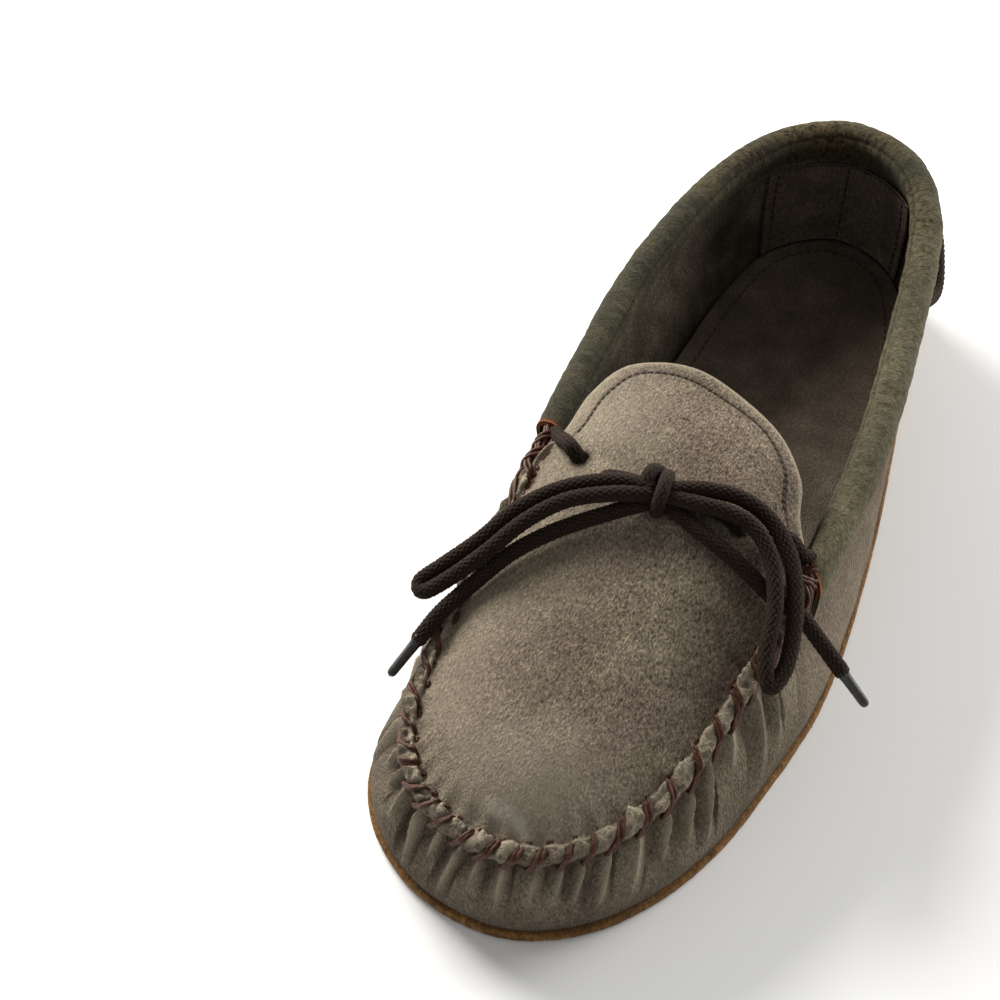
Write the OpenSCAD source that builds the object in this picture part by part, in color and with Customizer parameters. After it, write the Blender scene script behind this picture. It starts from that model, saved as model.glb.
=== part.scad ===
// Moccasin, left foot. Millimetres, +Z up, toe towards -Y, outer side of the foot towards +X.

/* [Overall size] */
// Outsole length from heel to toe
shoe_length = 285; // [240:1:320]
// Outsole width across the ball of the foot
ball_width = 107; // [88:1:125]
// Outsole width across the heel
heel_width = 68; // [55:1:82]
// Height of the top line at the back of the heel
heel_height = 58; // [46:1:72]
// Height of the top line at the sides
side_height = 50; // [40:1:62]
// Height of the puckered seam at the toe
toe_height = 30; // [22:1:40]
// Height of the instep where the apron turns into the tongue
instep_height = 62; // [50:1:76]
// How far the toe lies towards the inner side of the foot
toe_swing = 25; // [10:1:34]

/* [Sole] */
// Thickness of the outsole
outsole_t = 3.2; // [2:0.1:6]
// How far the outsole shows outside the upper
outsole_lip = 1.2; // [0.5:0.1:3]
// Thickness of the foam cushion under the insole
cushion_t = 2.6; // [1:0.1:5]
// Thickness of the insole
insole_t = 1.2; // [0.8:0.1:3]
// Gap between the insole edge and the wall
insole_gap = 0.8; // [0.3:0.1:2]

/* [Leather] */
// Thickness of the suede
suede_t = 1.6; // [1:0.1:2.4]
// Outward swell of the lower wall
wall_swell = 3; // [0:0.5:8]
// Length of the tongue behind the corners of the throat
tongue_length = 40; // [25:1:60]
// Thickness of the heel stiffener
counter_t = 1.0; // [0.6:0.1:2]
// Thickness of the heel lining
lining_t = 0.9; // [0.6:0.1:1.6]
// Gap between stacked layers
layer_gap = 0.15; // [0.05:0.05:0.4]
// Half width of the heel lining, in wall stations
lining_half = 1.1; // [0.8:0.1:1.6]

/* [Collar] */
// Half width of the collar roll
collar_r = 5; // [4:0.1:7]
// Thickness of the collar binding
collar_t = 1.3; // [0.8:0.1:2]
// Length of the legs of the collar binding
collar_leg = 8; // [5:0.5:12]

/* [Lace] */
// Diameter of the lace
lace_d = 4.2; // [3:0.1:6]
// Clearance round the lace where it passes through the suede
lace_clear = 0.4; // [0.2:0.1:1.5]
// Diameter of the aglets
aglet_d = 2.8; // [2:0.1:4]
// Length of the aglets
aglet_l = 12; // [8:0.5:20]
// Size of the knot
knot_d = 8; // [6:0.5:14]

/* [Stitches] */
// Number of whip stitches round the apron
whip_count = 28; // [14:1:40]
// Thickness of the whip thread
whip_d = 1.2; // [0.6:0.1:2]
// Length of one fine stitch
stitch_l = 2.6; // [1.5:0.1:5]
// Thickness of the fine thread
stitch_d = 0.6; // [0.3:0.1:1.2]

/* [Tongue joint] */
// Gap between the tongue and the throat strip at the top
tongue_gap = 0.5; // [0.3:0.1:2]
// How far the tongue can be pressed down, in degrees
tongue_dip = 6; // [0:1:12]

/* [Hidden] */
// Number of wall stations in the closed outline
n_st = 18;
// Rings along the closed outline
ring_n = 108;
// Height of a fine stitch on the leather, and of one that lies flatter
stitch_rise = 0.3;
stitch_flat = 0.24;
ball_k = ball_width / 107;
heel_k = heel_width / 68;
swing_k = toe_swing / 25;
floor_z = outsole_t + layer_gap;
upper_floor_z = floor_z + suede_t;
heel_z = heel_height;
side_z = side_height;
toe_z = toe_height;
corner_z = side_height - 1;

// Heel axis, ball axis and toe axis, side to side
heel_cx = 3;
ball_cx = -14 * swing_k;
toe_cx = -22 * swing_k;

// One outline point: side to side, then along the shoe as a share of the length
function pt(x, f) = [x, f * shoe_length];
function ball_x(d) = ball_cx + d * ball_k;
function heel_x(d) = heel_cx + d * heel_k;
function toe_x(d) = toe_cx + d * ball_k;

// Outsole outline, from the back of the heel round by the outer side
sole_pts = [
  pt(heel_x(0), 0.495),
  pt(heel_x(23), 0.453),
  pt(heel_x(34), 0.351),
  pt(heel_x(38), 0.175),
  pt(ball_x(57), 0.014),
  pt(ball_x(55.5), -0.147),
  pt(ball_x(49), -0.256),
  pt(toe_x(44.5), -0.379),
  pt(toe_x(25), -0.467),
  pt(toe_x(0), -0.505),
  pt(toe_x(-28), -0.481),
  pt(toe_x(-47), -0.404),
  pt(ball_x(-56), -0.288),
  pt(ball_x(-48), -0.105),
  pt(heel_x(-50), 0.070),
  pt(heel_x(-41), 0.211),
  pt(heel_x(-34), 0.351),
  pt(heel_x(-23), 0.449)
];

// Top line of the upper: collar round the heel, puckered seam round the toe
top_pts = [
  [heel_x(1), 0.470 * shoe_length, heel_z],
  [heel_x(21), 0.432 * shoe_length, heel_z - 0.5],
  [heel_x(31), 0.344 * shoe_length, heel_z - 3],
  [heel_x(33.5), 0.175 * shoe_length, side_z + 2],
  [ball_x(50), 0.014 * shoe_length, side_z],
  [ball_x(44.5), -0.151 * shoe_length, corner_z],
  [ball_x(36.5), -0.260 * shoe_length, corner_z * 0.4 + toe_z * 0.72],
  [toe_x(35), -0.372 * shoe_length, toe_z + 4],
  [toe_x(19), -0.449 * shoe_length, toe_z + 1],
  [toe_x(-1), -0.477 * shoe_length, toe_z],
  [toe_x(-23), -0.453 * shoe_length, toe_z + 0.5],
  [toe_x(-35), -0.389 * shoe_length, toe_z + 2.5],
  [ball_x(-44), -0.281 * shoe_length, corner_z * 0.4 + toe_z * 0.63],
  [ball_x(-37.5), -0.098 * shoe_length, corner_z],
  [heel_x(-51.5), 0.070 * shoe_length, side_z + 1],
  [heel_x(-47.5), 0.211 * shoe_length, side_z + 3],
  [heel_x(-35.5), 0.358 * shoe_length, heel_z - 2.5],
  [heel_x(-20), 0.439 * shoe_length, heel_z - 0.5]
];

function wrap_s(s) = s - n_st * floor(s / n_st);
function clamp01(t) = max(0, min(1, t));
function ease(t) = let(c = clamp01(t)) c * c * (3 - 2 * c);
function unit(v) = v / norm(v);

// Smooth closed curve through points, s counts the points
function curve(p, s) =
  let(
    n = len(p),
    q = s - n * floor(s / n),
    i = floor(q),
    t = q - i,
    p0 = p[(i + n - 1) % n],
    p1 = p[i % n],
    p2 = p[(i + 1) % n],
    p3 = p[(i + 2) % n]
  )
  0.5 * (2 * p1 + (p2 - p0) * t + (2 * p0 - 5 * p1 + 4 * p2 - p3) * t * t
    + (3 * p1 - p0 - 3 * p2 + p3) * t * t * t);

// Smooth open curve through points
function open_curve(p, s) =
  let(
    n = len(p),
    c = max(0, min(n - 1, s)),
    i = min(floor(c), n - 2),
    t = c - i,
    p1 = p[i],
    p2 = p[i + 1],
    p0 = i > 0 ? p[i - 1] : 2 * p1 - p2,
    p3 = i < n - 2 ? p[i + 2] : 2 * p2 - p1
  )
  0.5 * (2 * p1 + (p2 - p0) * t + (2 * p0 - 5 * p1 + 4 * p2 - p3) * t * t
    + (3 * p1 - p0 - 3 * p2 + p3) * t * t * t);

// Outward direction seen from above
function out_dir(s) =
  let(
    a = curve(sole_pts, s + 0.05) - curve(sole_pts, s - 0.05),
    b3 = curve(top_pts, s + 0.05) - curve(top_pts, s - 0.05),
    b = [b3[0], b3[1]],
    t = unit(unit(a) + unit(b))
  )
  [-t[1], t[0]];

function sole_at(s, d) = curve(sole_pts, s) + out_dir(s) * d;
function top_at(s) = curve(top_pts, s);
function lift(p, z) = [p[0], p[1], z];
function flat(p) = [p[0], p[1]];

// Where the collar ends, in stations: outer side and inner side
collar_s0 = 13.24;
collar_s1 = n_st + 4.88;
// How far the suede edge stops below the collar line, to leave room for the lace
edge_drop = 5.2;
// How far the middle of the collar roll lies below the top line
collar_low = 2.4;
function in_front(s) = let(q = wrap_s(s)) clamp01(min(q - 4.66, 13.44 - q) / 0.22);
function wall_top(s) = top_at(s) - [0, 0, edge_drop * (1 - in_front(s))];

// Wall of the upper, v from 0 at the sole to 1 at the edge, d outward from the middle of the suede
function wall(s, v, d) =
  let(
    n = out_dir(s),
    a = lift(sole_at(s, -outsole_lip - suede_t / 2), floor_z),
    b = wall_top(s),
    h = b[2] - a[2],
    n3 = [n[0], n[1], 0],
    a1 = a + n3 * wall_swell * 0.3 + [0, 0, h * 0.35],
    b1 = b + n3 * wall_swell - [0, 0, h * 0.35],
    w = 1 - v
  )
  a * w * w * w + a1 * 3 * w * w * v + b1 * 3 * w * v * v + b * v * v * v + n3 * d;

module solid_rings(rings) {
  // rings of equal length, first and last closed with a flat face
  m = len(rings[0]);
  k = len(rings);
  pts = [for (r = rings) for (p = r) p];
  side = [
    for (j = [0 : k - 2]) for (i = [0 : m - 1])
      let(a = j * m + i, b = j * m + (i + 1) % m, c = a + m, d = b + m)
        each [[a, b, d], [a, d, c]]
  ];
  first = [for (i = [0 : m - 1]) m - 1 - i];
  last = [for (i = [0 : m - 1]) (k - 1) * m + i];
  polyhedron(points = pts, faces = concat(side, [first], [last]), convexity = 8);
}

module loop_rings(rings) {
  // closed loop of sections, such as a band that goes round
  m = len(rings[0]);
  k = len(rings);
  pts = [for (r = rings) for (p = r) p];
  side = [
    for (j = [0 : k - 1]) for (i = [0 : m - 1])
      let(n = (j + 1) % k, a = j * m + i, b = j * m + (i + 1) % m, c = n * m + i, d = n * m + (i + 1) % m)
        each [[a, b, d], [a, d, c]]
  ];
  polyhedron(points = pts, faces = side, convexity = 8);
}

// A round tube along a route, sides and rings kept low
function route_tangent(r, i) = unit(r[min(i + 1, len(r) - 1)] - r[max(i - 1, 0)]);
function side_dir(u, t) = unit(u - t * (u * t));
function any_side(t) = abs(t[2]) < 0.8 ? unit(cross(t, [0, 0, 1])) : unit(cross(t, [1, 0, 0]));

module tube(r, d, sides = 8) {
  n = len(r);
  us = [
    for (i = 0, u = any_side(route_tangent(r, 0)); i < n;
      i = i + 1, u = side_dir(u, route_tangent(r, min(i, n - 1)))) u
  ];
  rings = [
    for (i = [0 : n - 1])
      let(t = route_tangent(r, i), u = side_dir(us[i], t), w = cross(t, u))
        [for (k = [0 : sides - 1]) r[i] + (u * cos(360 * k / sides) - w * sin(360 * k / sides)) * d / 2]
  ];
  solid_rings(rings);
}

// Evenly stepped points along an open curve
function stepped(p, per) = [for (k = [0 : (len(p) - 1) * per]) open_curve(p, k / per)];

// A small straight stitch from a to b, lying on a surface whose outward direction is up
module stitch(a, b, up, w, h) {
  t = unit(b - a);
  s = unit(cross(t, up));
  u = unit(cross(s, t));
  solid_rings([
    for (e = [a, b])
      [e + s * w / 2 + u * h / 2, e - s * w / 2 + u * h / 2, e - s * w / 2 - u * h / 2, e + s * w / 2 - u * h / 2]
  ]);
}

// Shift that puts the middle of the outsole at the origin
outline = [for (i = [0 : ring_n - 1]) sole_at(i * n_st / ring_n, 0)];
mid_x = (max([for (p = outline) p[0]]) + min([for (p = outline) p[0]])) / 2;
mid_y = (max([for (p = outline) p[1]]) + min([for (p = outline) p[1]])) / 2;
module place() {
  translate([-mid_x, -mid_y, 0]) children();
}

// ---- skin of the apron and tongue -------------------------------------------------
// r from 0 at the toe tip to 4 at the throat corners, 5 at the tongue fold, 8 at the tongue tip
// u from -1 on the inner side to 1 on the outer side
seam_in = suede_t / 2 + 0.25;
function seam_edge(s) =
  let(n = out_dir(s), p = top_at(s)) [p[0] - n[0] * seam_in, p[1] - n[1] * seam_in, p[2] - 0.3];
right_corner = seam_edge(5);
left_corner = seam_edge(13);
corner_mid = (right_corner + left_corner) / 2;
tk = tongue_length / 40;
tip_z = instep_height + 3.5;
function tongue_pt(x, y, z) = [corner_mid[0] + x * ball_k, corner_mid[1] + y * tk, z];
tongue_out = [
  right_corner,
  tongue_pt(34, 5, instep_height - 7),
  tongue_pt(31, 16, instep_height - 3),
  tongue_pt(20, 29, instep_height + 0.5),
  tongue_pt(-3, 40, tip_z),
  tongue_pt(-22, 38.5, instep_height + 1.5),
  tongue_pt(-30.5, 28, instep_height - 2),
  tongue_pt(-34, 16.5, instep_height - 6.5),
  left_corner
];
function edge_pair(r) =
  r <= 4
    ? [seam_edge(9 - r), seam_edge(9 + r)]
    : [open_curve(tongue_out, r - 4), open_curve(tongue_out, 12 - r)];
// Where the spine of the skin starts behind the toe and stops before the tongue tip
spine_front = -0.36 * shoe_length;
spine_back = corner_mid[1] + 22 * tk;
function soft_max(a, b, k) = (a + b + sqrt((a - b) * (a - b) + k * k)) / 2;
function soft_min(a, b, k) = (a + b - sqrt((a - b) * (a - b) + k * k)) / 2;
crown = [
  [spine_front - 20, toe_height + 11],
  [spine_front, toe_height + 14],
  [spine_front + 26, toe_height + 21.5],
  [spine_front + 48, instep_height - 4.5],
  [corner_mid[1], instep_height],
  [corner_mid[1] + 16 * tk, instep_height + 2.5],
  [corner_mid[1] + 42 * tk, instep_height + 4]
];
function crown_z(y) = lookup(y, crown);
function smooth_crown(y) = (crown_z(y - 9) + crown_z(y - 3) + crown_z(y + 3) + crown_z(y + 9)) / 4;
function spine(r) =
  let(
    e = edge_pair(r),
    m = (e[0] + e[1]) / 2,
    y = soft_min(soft_max(m[1], spine_front, 14), spine_back, 8)
  )
  [m[0], y, smooth_crown(y)];
arch_power = 2.4;
function skin(r, u) =
  let(
    e = u >= 0 ? edge_pair(r)[0] : edge_pair(r)[1],
    m = spine(r),
    k = abs(u)
  )
  [m[0] + (e[0] - m[0]) * k, m[1] + (e[1] - m[1]) * k, m[2] + (e[2] - m[2]) * pow(k, arch_power)];

us = [0.22, 0.42, 0.6, 0.74, 0.85, 0.93, 1];
row_us = concat([for (i = [6 : -1 : 0]) -us[i]], [0], us);

// Skin solid between rows: rows[0] is the closed end, the last row is a cut across
module skin_shell(rows, thick) {
  n = len(rows);
  m = len(row_us);
  h = (m - 1) / 2;
  // the first row folds onto itself, so only its outer half is used
  function id(j, k) = j == 0 ? abs(k - h) : h + 1 + (j - 1) * m + k;
  top = concat([for (k = [0 : h]) rows[0][h + k]], [for (j = [1 : n - 1]) for (k = [0 : m - 1]) rows[j][k]]);
  c = len(top);
  pts = concat(top, [for (p = top) p - [0, 0, thick]]);
  skin_faces = [
    for (j = [0 : n - 2]) for (k = [0 : m - 2])
      let(a = id(j, k), b = id(j, k + 1), d = id(j + 1, k), e = id(j + 1, k + 1))
        each [[a, b, e], [a, e, d]]
  ];
  rim = concat([for (j = [0 : n - 1]) id(j, m - 1)], [for (k = [m - 2 : -1 : 0]) id(n - 1, k)],
    [for (j = [n - 2 : -1 : 1]) id(j, 0)]);
  q = len(rim);
  flip = rows[1][h][1] > rows[0][m - 1][1] ? 0 : 1;
  upper = [for (f = skin_faces) flip == 0 ? [f[2], f[1], f[0]] : f];
  lower = [for (f = skin_faces) flip == 0 ? [f[0] + c, f[1] + c, f[2] + c] : [f[2] + c, f[1] + c, f[0] + c]];
  walls = [
    for (i = [0 : q - 1])
      let(a = rim[i], b = rim[(i + 1) % q])
        each (flip == 0 ? [[a, b, b + c], [a, b + c, a + c]] : [[b, a, a + c], [b, a + c, b + c]])
  ];
  polyhedron(points = pts, faces = concat(upper, lower, walls), convexity = 8);
}

// ---- tongue fold ------------------------------------------------------------------
fold_r = 5;
fold_l = skin(fold_r, -1);
fold_rt = skin(fold_r, 1);
fold_top = skin(fold_r, 0);
fold_axis = unit([fold_rt[0] - fold_l[0], fold_rt[1] - fold_l[1], 0]);
fold_back = [-fold_axis[1], fold_axis[0], 0];
fold_z = fold_top[2] + 0.5;
function fold_gap(z) = tongue_gap + (fold_z - z + suede_t) * tan(tongue_dip);
joint_at = [fold_top[0] - mid_x, fold_top[1] - mid_y, fold_z];
echo(joint_at = joint_at, fold_axis = fold_axis);

tongue_rows = [
  for (r = [8, 7.9, 7.75, 7.5, 7.25, 7, 6.7, 6.4, 6.1, 5.8, 5.5, 5.25])
    [for (u = row_us) skin(r, u)]
];
tongue_cut = [for (u = row_us) let(p = skin(fold_r, u)) p + fold_back * fold_gap(p[2])];
apron_rows = [
  for (r = [0, 0.1, 0.25, 0.45, 0.7, 1, 1.3, 1.6, 1.9, 2.2, 2.5, 2.75, 3, 3.25, 3.5, 3.7, 3.85, 4, 4.25, 4.5, 4.75, 5])
    [for (u = row_us) skin(r, u)]
];

// ---- lace ---------------------------------------------------------------------------
lace_r = lace_d / 2;
// Half width of the way that is cut for the lace, and the lace's height above and below the skin
way_r = lace_r + lace_clear;
on = way_r + 0.1;
under = -suede_t - way_r - 0.1;
// The lace runs a little above the middle of the collar roll, as far as the roll has room
lace_rise = min(0.5, collar_r - collar_t - way_r - layer_gap);
knot_at = skin(3.86, 0) + [0, 0, 4.4];
hole_l2 = skin(3.87, -0.42);
hole_l1 = skin(4, -0.66);
hole_r2 = skin(3.93, 0.52);
hole_r1 = skin(4.03, 0.74);
up = [0, 0, 1];
function channel(s) = top_at(s) + [0, 0, lace_rise - collar_low];
// Under the collar outside the heel
function heel_run(s) =
  let(n = out_dir(s), p = top_at(s), d = collar_r + lace_r - 1.4)
  [p[0] + n[0] * d, p[1] + n[1] * d, p[2] - 14.2];

run_pts = concat(
  [
    knot_at + [-2.5, 1.5, -1.6],
    knot_at + [-8, 2.4, -2],
    hole_l2 + up * on + [1.5, 0, 0],
    hole_l2 + up * -0.6,
    hole_l2 * 0.55 + hole_l1 * 0.45 + up * (under - 0.3),
    hole_l1 + up * -1,
    hole_l1 + up * on * 0.8 + [-4, 2.2, 0],
    channel(collar_s0 - 0.06) + [4, -1, 4],
    channel(collar_s0 + 0.06) + [0.3, 0, 0]
  ],
  [for (s = [13.5, 13.8, 14.2, 14.6, 15, 15.3]) channel(s)],
  [for (s = [15.75, 16.1, 16.5, 16.9, 17.2, 17.5, 17.75, 18, 18.25, 18.5, 18.8, 19.1, 19.5, 19.9, 20.3]) heel_run(s)],
  [for (s = [20.75, 21.1, 21.5, 21.9, 22.3, 22.6]) channel(s)],
  [
    channel(collar_s1 - 0.08),
    channel(collar_s1 + 0.02) + [-3.5, -1, 4],
    hole_r1 + up * on * 0.8 + [3.6, 0, 0],
    hole_r1 + up * -1,
    hole_r1 * 0.5 + hole_r2 * 0.5 + up * (under + 0.4),
    hole_r2 + up * -0.6,
    hole_r2 + up * on + [-1.8, 0, 0.2],
    knot_at + [8, 1.6, -2],
    knot_at + [2.5, 1.5, -1.6]
  ]
);

lace_route = stepped(run_pts, 2);
lace_line = stepped(run_pts, 6);
// Whether a stitch with its middle at p stands clear of the lace
function clear_of_lace(p) = min([for (q = lace_line) norm(q - p)]) > way_r + stitch_l / 2;

// Free lengths of the bow, hand-set points relative to the knot
function from_knot(x, y, z) = knot_at + [x, y, z];
loop_left_pts = [
  from_knot(-2.5, -1, 1.4),
  from_knot(-13, -2, 1.4),
  from_knot(-25, -6, -1.4),
  from_knot(-35, -13, -5.6),
  from_knot(-43, -22, -11.6),
  from_knot(-51, -28, -18),
  from_knot(-56, -32.5, -21.6),
  from_knot(-54, -35.4, -21.8),
  from_knot(-48, -32.4, -17.6),
  from_knot(-39.8, -25.6, -11.2),
  from_knot(-32, -17.2, -5.2),
  from_knot(-23, -10.2, -1.2),
  from_knot(-12, -6.4, 1.4),
  from_knot(-2.5, -3, 1)
];
loop_right_pts = [
  from_knot(2.5, -0.5, 2.2),
  from_knot(11, 2, 2.4),
  from_knot(21, 3.4, 0.6),
  from_knot(30, 0.6, -3),
  from_knot(36.8, -7, -7.2),
  from_knot(41, -19, -12.2),
  from_knot(42.2, -31, -17.4),
  from_knot(39.8, -37.6, -19),
  from_knot(36.8, -31.6, -15),
  from_knot(35.8, -20, -9.6),
  from_knot(31.8, -9.6, -4.6),
  from_knot(25.6, -3.8, -1),
  from_knot(19, -2.2, 0.6),
  from_knot(11, -2.6, 1.6),
  from_knot(2.5, -2.4, 1.4)
];
tail_left_pts = [
  from_knot(-2.5, -3, -2.2),
  from_knot(-12, -8.8, -3.8),
  from_knot(-24, -15.5, -7.8),
  from_knot(-34, -22.8, -12.8),
  from_knot(-42, -31.8, -18.8),
  from_knot(-47.5, -40, -22.4),
  from_knot(-51, -48, -26)
];
tail_right_pts = [
  from_knot(2.5, -2.5, -2.2),
  from_knot(13, -7.8, -3.2),
  from_knot(24, -11.8, -6.6),
  from_knot(34, -14.6, -12.8),
  from_knot(42, -16, -15.8),
  from_knot(49, -18, -22.4),
  from_knot(55.5, -20, -29)
];
function tip_of(p) = p[len(p) - 1];
function heading(p) = unit(p[len(p) - 1] - p[len(p) - 2]);

module outsole() {
  color([0.36, 0.25, 0.15])
    place()
      linear_extrude(height = outsole_t)
        polygon(outline);
}

module midsole_cushion() {
  color([0.8, 0.78, 0.7])
    place()
      translate([0, 0, upper_floor_z + layer_gap])
        linear_extrude(height = cushion_t)
          polygon([for (i = [0 : ring_n - 1])
            sole_at(i * n_st / ring_n, -outsole_lip - suede_t - insole_gap - 0.6)]);
}

insole_z = upper_floor_z + cushion_t + 2 * layer_gap;
insole_in = -outsole_lip - suede_t - insole_gap - counter_t - lining_t + 0.6;
module insole() {
  color([0.25, 0.22, 0.19])
    place()
      translate([0, 0, insole_z])
        linear_extrude(height = insole_t)
          polygon([for (i = [0 : ring_n - 1]) sole_at(i * n_st / ring_n, insole_in)]);
}

module insole_stitching() {
  color([0.12, 0.1, 0.09])
    place()
      for (k = [0 : 119])
        let(
          s = k * n_st / 120,
          a = sole_at(s, insole_in - 4),
          b = sole_at(s + 0.07, insole_in - 4)
        )
          stitch(lift(a, insole_z + insole_t + 0.12), lift(b, insole_z + insole_t + 0.12),
            up, stitch_d, stitch_flat);
}

wall_vs = [0, 0.12, 0.28, 0.46, 0.64, 0.82, 1];
function wall_ring(v, d) = [for (i = [0 : ring_n - 1]) wall(i * n_st / ring_n, v, d)];
module moccasin_wrap() {
  h = suede_t / 2;
  inner_foot = [for (i = [0 : ring_n - 1])
    let(p = wall(i * n_st / ring_n, 0.05, -h)) lift(p, upper_floor_z)];
  color([0.5, 0.46, 0.4])
    place()
      difference() {
        solid_rings(concat(
          [for (v = wall_vs) wall_ring(v, h)],
          [for (i = [6 : -1 : 1]) wall_ring(wall_vs[i], -h)],
          [inner_foot]
        ));
        lace_way();
      }
}

// A curved layer on the inside of the wall
module wall_patch(s0, s1, v0, v1, d0, d1, ns, nv) {
  rings = [
    for (i = [0 : ns])
      let(s = s0 + (s1 - s0) * i / ns)
        concat(
          [for (j = [0 : nv]) wall(s, v0 + (v1 - v0) * j / nv, d0)],
          [for (j = [nv : -1 : 0]) wall(s, v0 + (v1 - v0) * j / nv, d1)]
        )
  ];
  solid_rings(rings);
}

patch_v0 = 0.17;
patch_v1 = 0.84;
counter_out = -suede_t / 2 - layer_gap;
lining_out = counter_out - counter_t - layer_gap;
module heel_counter() {
  color([0.7, 0.66, 0.55])
    place()
      wall_patch(-lining_half, lining_half, patch_v0, patch_v1 - 0.04, counter_out - counter_t, counter_out, 24, 5);
}

module heel_lining() {
  color([0.27, 0.24, 0.2])
    place()
      wall_patch(-lining_half - 0.12, lining_half + 0.12, patch_v0, patch_v1, lining_out - lining_t, lining_out, 26, 5);
}

module heel_lining_stitching() {
  d = lining_out - lining_t - 0.1;
  color([0.1, 0.09, 0.08])
    place()
      for (s = [-lining_half + 0.02, 0, lining_half - 0.02])
        for (k = [0 : 9])
          let(
            v = 0.2 + k * 0.066,
            n = out_dir(s)
          )
            stitch(wall(s, v, d), wall(s, v + 0.045, d), [-n[0], -n[1], 0], stitch_d, stitch_flat);
}

module back_seam_stitching() {
  d = suede_t / 2 + 0.1;
  color([0.12, 0.09, 0.07])
    place()
      for (s = [-0.09, 0.09])
        for (k = [0 : 9])
          let(
            v = 0.06 + k * 0.066,
            n = out_dir(s)
          )
            stitch(wall(s, v, d), wall(s, v + 0.045, d), [n[0], n[1], 0], stitch_d, stitch_flat);
}

// The way of the lace, cut from every piece of leather it passes through
module lace_way() {
  for (i = [0 : len(lace_route) - 2])
    hull()
      for (p = [lace_route[i], lace_route[i + 1]])
        translate(p)
          sphere(r = way_r, $fn = 12);
}

module apron() {
  color([0.52, 0.47, 0.41])
    place()
      difference() {
        skin_shell(apron_rows, suede_t);
        lace_way();
      }
}

module whip(s, lean) {
  n = out_dir(s);
  n3 = [n[0], n[1], 0];
  n2 = [out_dir(s + lean)[0], out_dir(s + lean)[1], 0];
  a = top_at(s);
  b = top_at(s + lean);
  tube([
    a + n3 * (suede_t / 2 + 0.3) + up * -4.2,
    a + n3 * (suede_t / 2 + 0.7) + up * -2,
    a * 0.75 + b * 0.25 + n3 * 0.9 + up * 0.5,
    a * 0.4 + b * 0.6 - n2 * 1.4 + up * 0.7,
    b - n2 * (suede_t / 2 + 3.6) + up * 0.9,
    b - n2 * (suede_t / 2 + 5.4) + up * 0.2
  ], whip_d, 5);
}

module apron_whip_stitching() {
  // first and last stitch, and how far each slants back, in stations
  first = 5.14;
  last = 12.94;
  slant = -0.17;
  color([0.2, 0.11, 0.08])
    place()
      for (k = [0 : whip_count - 1])
        whip(first + k * (last - first) / (whip_count - 1), slant);
}

// Collar section: a folded strip with two legs, open at the bottom, that follow the wall
function leg_mid(s) =
  let(
    t = wall_top(s),
    v = 1 - (collar_leg + collar_low - edge_drop) / (1.05 * (t[2] - floor_z)),
    w = wall(s, v, 0)
  )
  [w[0], w[1], top_at(s)[2] - collar_low - collar_leg];
function collar_section(s) =
  let(
    n = out_dir(s),
    p = top_at(s),
    n3 = [n[0], n[1], 0],
    c = p + [0, 0, -collar_low],
    g = leg_mid(s),
    q = c * 0.55 + g * 0.45,
    ro = collar_r,
    ri = collar_r - collar_t,
    lo = suede_t / 2 + 0.2 + collar_t,
    li = suede_t / 2 + 0.2
  )
  concat(
    [g + n3 * lo, q + n3 * (lo + 0.7 * (ro - lo))],
    [for (a = [0, 30, 60, 90, 120, 150, 180]) c + n3 * ro * cos(a) + up * ro * sin(a)],
    [q - n3 * (lo + 0.7 * (ro - lo)), g - n3 * lo],
    [g - n3 * li, q - n3 * (li + 0.7 * (ri - li))],
    [for (a = [180, 150, 120, 90, 60, 30, 0]) c + n3 * ri * cos(a) + up * ri * sin(a)],
    [q + n3 * (li + 0.7 * (ri - li)), g + n3 * li]
  );

collar_n = 84;
module collar_binding() {
  color([0.22, 0.22, 0.17])
    place()
      difference() {
        solid_rings([
          for (i = [0 : collar_n]) collar_section(collar_s1 - (collar_s1 - collar_s0) * i / collar_n)
        ]);
        lace_way();
      }
}

module collar_stitching() {
  // the seam lies above the foot of the collar's outer leg, just outside it
  seam_up = 1.6;
  lo = suede_t / 2 + 0.2 + collar_t + 0.66;
  color([0.1, 0.1, 0.08])
    place()
      for (k = [0 : 109])
        let(
          s = collar_s0 + 0.08 + (collar_s1 - collar_s0 - 0.2) * k / 109,
          e = s + 0.045,
          n = out_dir(s),
          m = out_dir(e),
          a = leg_mid(s) + [n[0], n[1], 0] * lo + up * seam_up,
          b = leg_mid(e) + [m[0], m[1], 0] * lo + up * seam_up
        )
          if (clear_of_lace((a + b) / 2))
            stitch(a, b, [n[0], n[1], 0], stitch_d, stitch_rise);
}

module lace_collar_run() {
  color([0.16, 0.12, 0.1])
    place()
      tube(lace_route, lace_d, 8);
}

module lace_knot() {
  color([0.15, 0.11, 0.09])
    place()
      translate(knot_at) {
        scale([1, 1.15, 0.85])
          sphere(d = knot_d, $fn = 24);
        rotate([0, 90, 0])
          rotate_extrude($fn = 24)
            translate([knot_d * 0.3, 0])
              circle(d = lace_d * 0.8, $fn = 16);
      }
}

module lace_loop_left() {
  color([0.16, 0.12, 0.1])
    place()
      tube(stepped(loop_left_pts, 2), lace_d, 8);
}

module lace_loop_right() {
  color([0.16, 0.12, 0.1])
    place()
      tube(stepped(loop_right_pts, 2), lace_d, 8);
}

module lace_tail_left() {
  color([0.16, 0.12, 0.1])
    place()
      tube(stepped(tail_left_pts, 2), lace_d, 8);
}

module lace_tail_right() {
  color([0.16, 0.12, 0.1])
    place()
      tube(stepped(tail_right_pts, 2), lace_d, 8);
}

module aglet(p) {
  t = heading(p);
  translate(tip_of(p) + t * 0.2)
    rotate([0, acos(t[2]), atan2(t[1], t[0])])
      cylinder(h = aglet_l, d = aglet_d, $fn = 32);
}

module aglet_left() {
  color([0.12, 0.11, 0.11])
    place()
      aglet(tail_left_pts);
}

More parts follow.
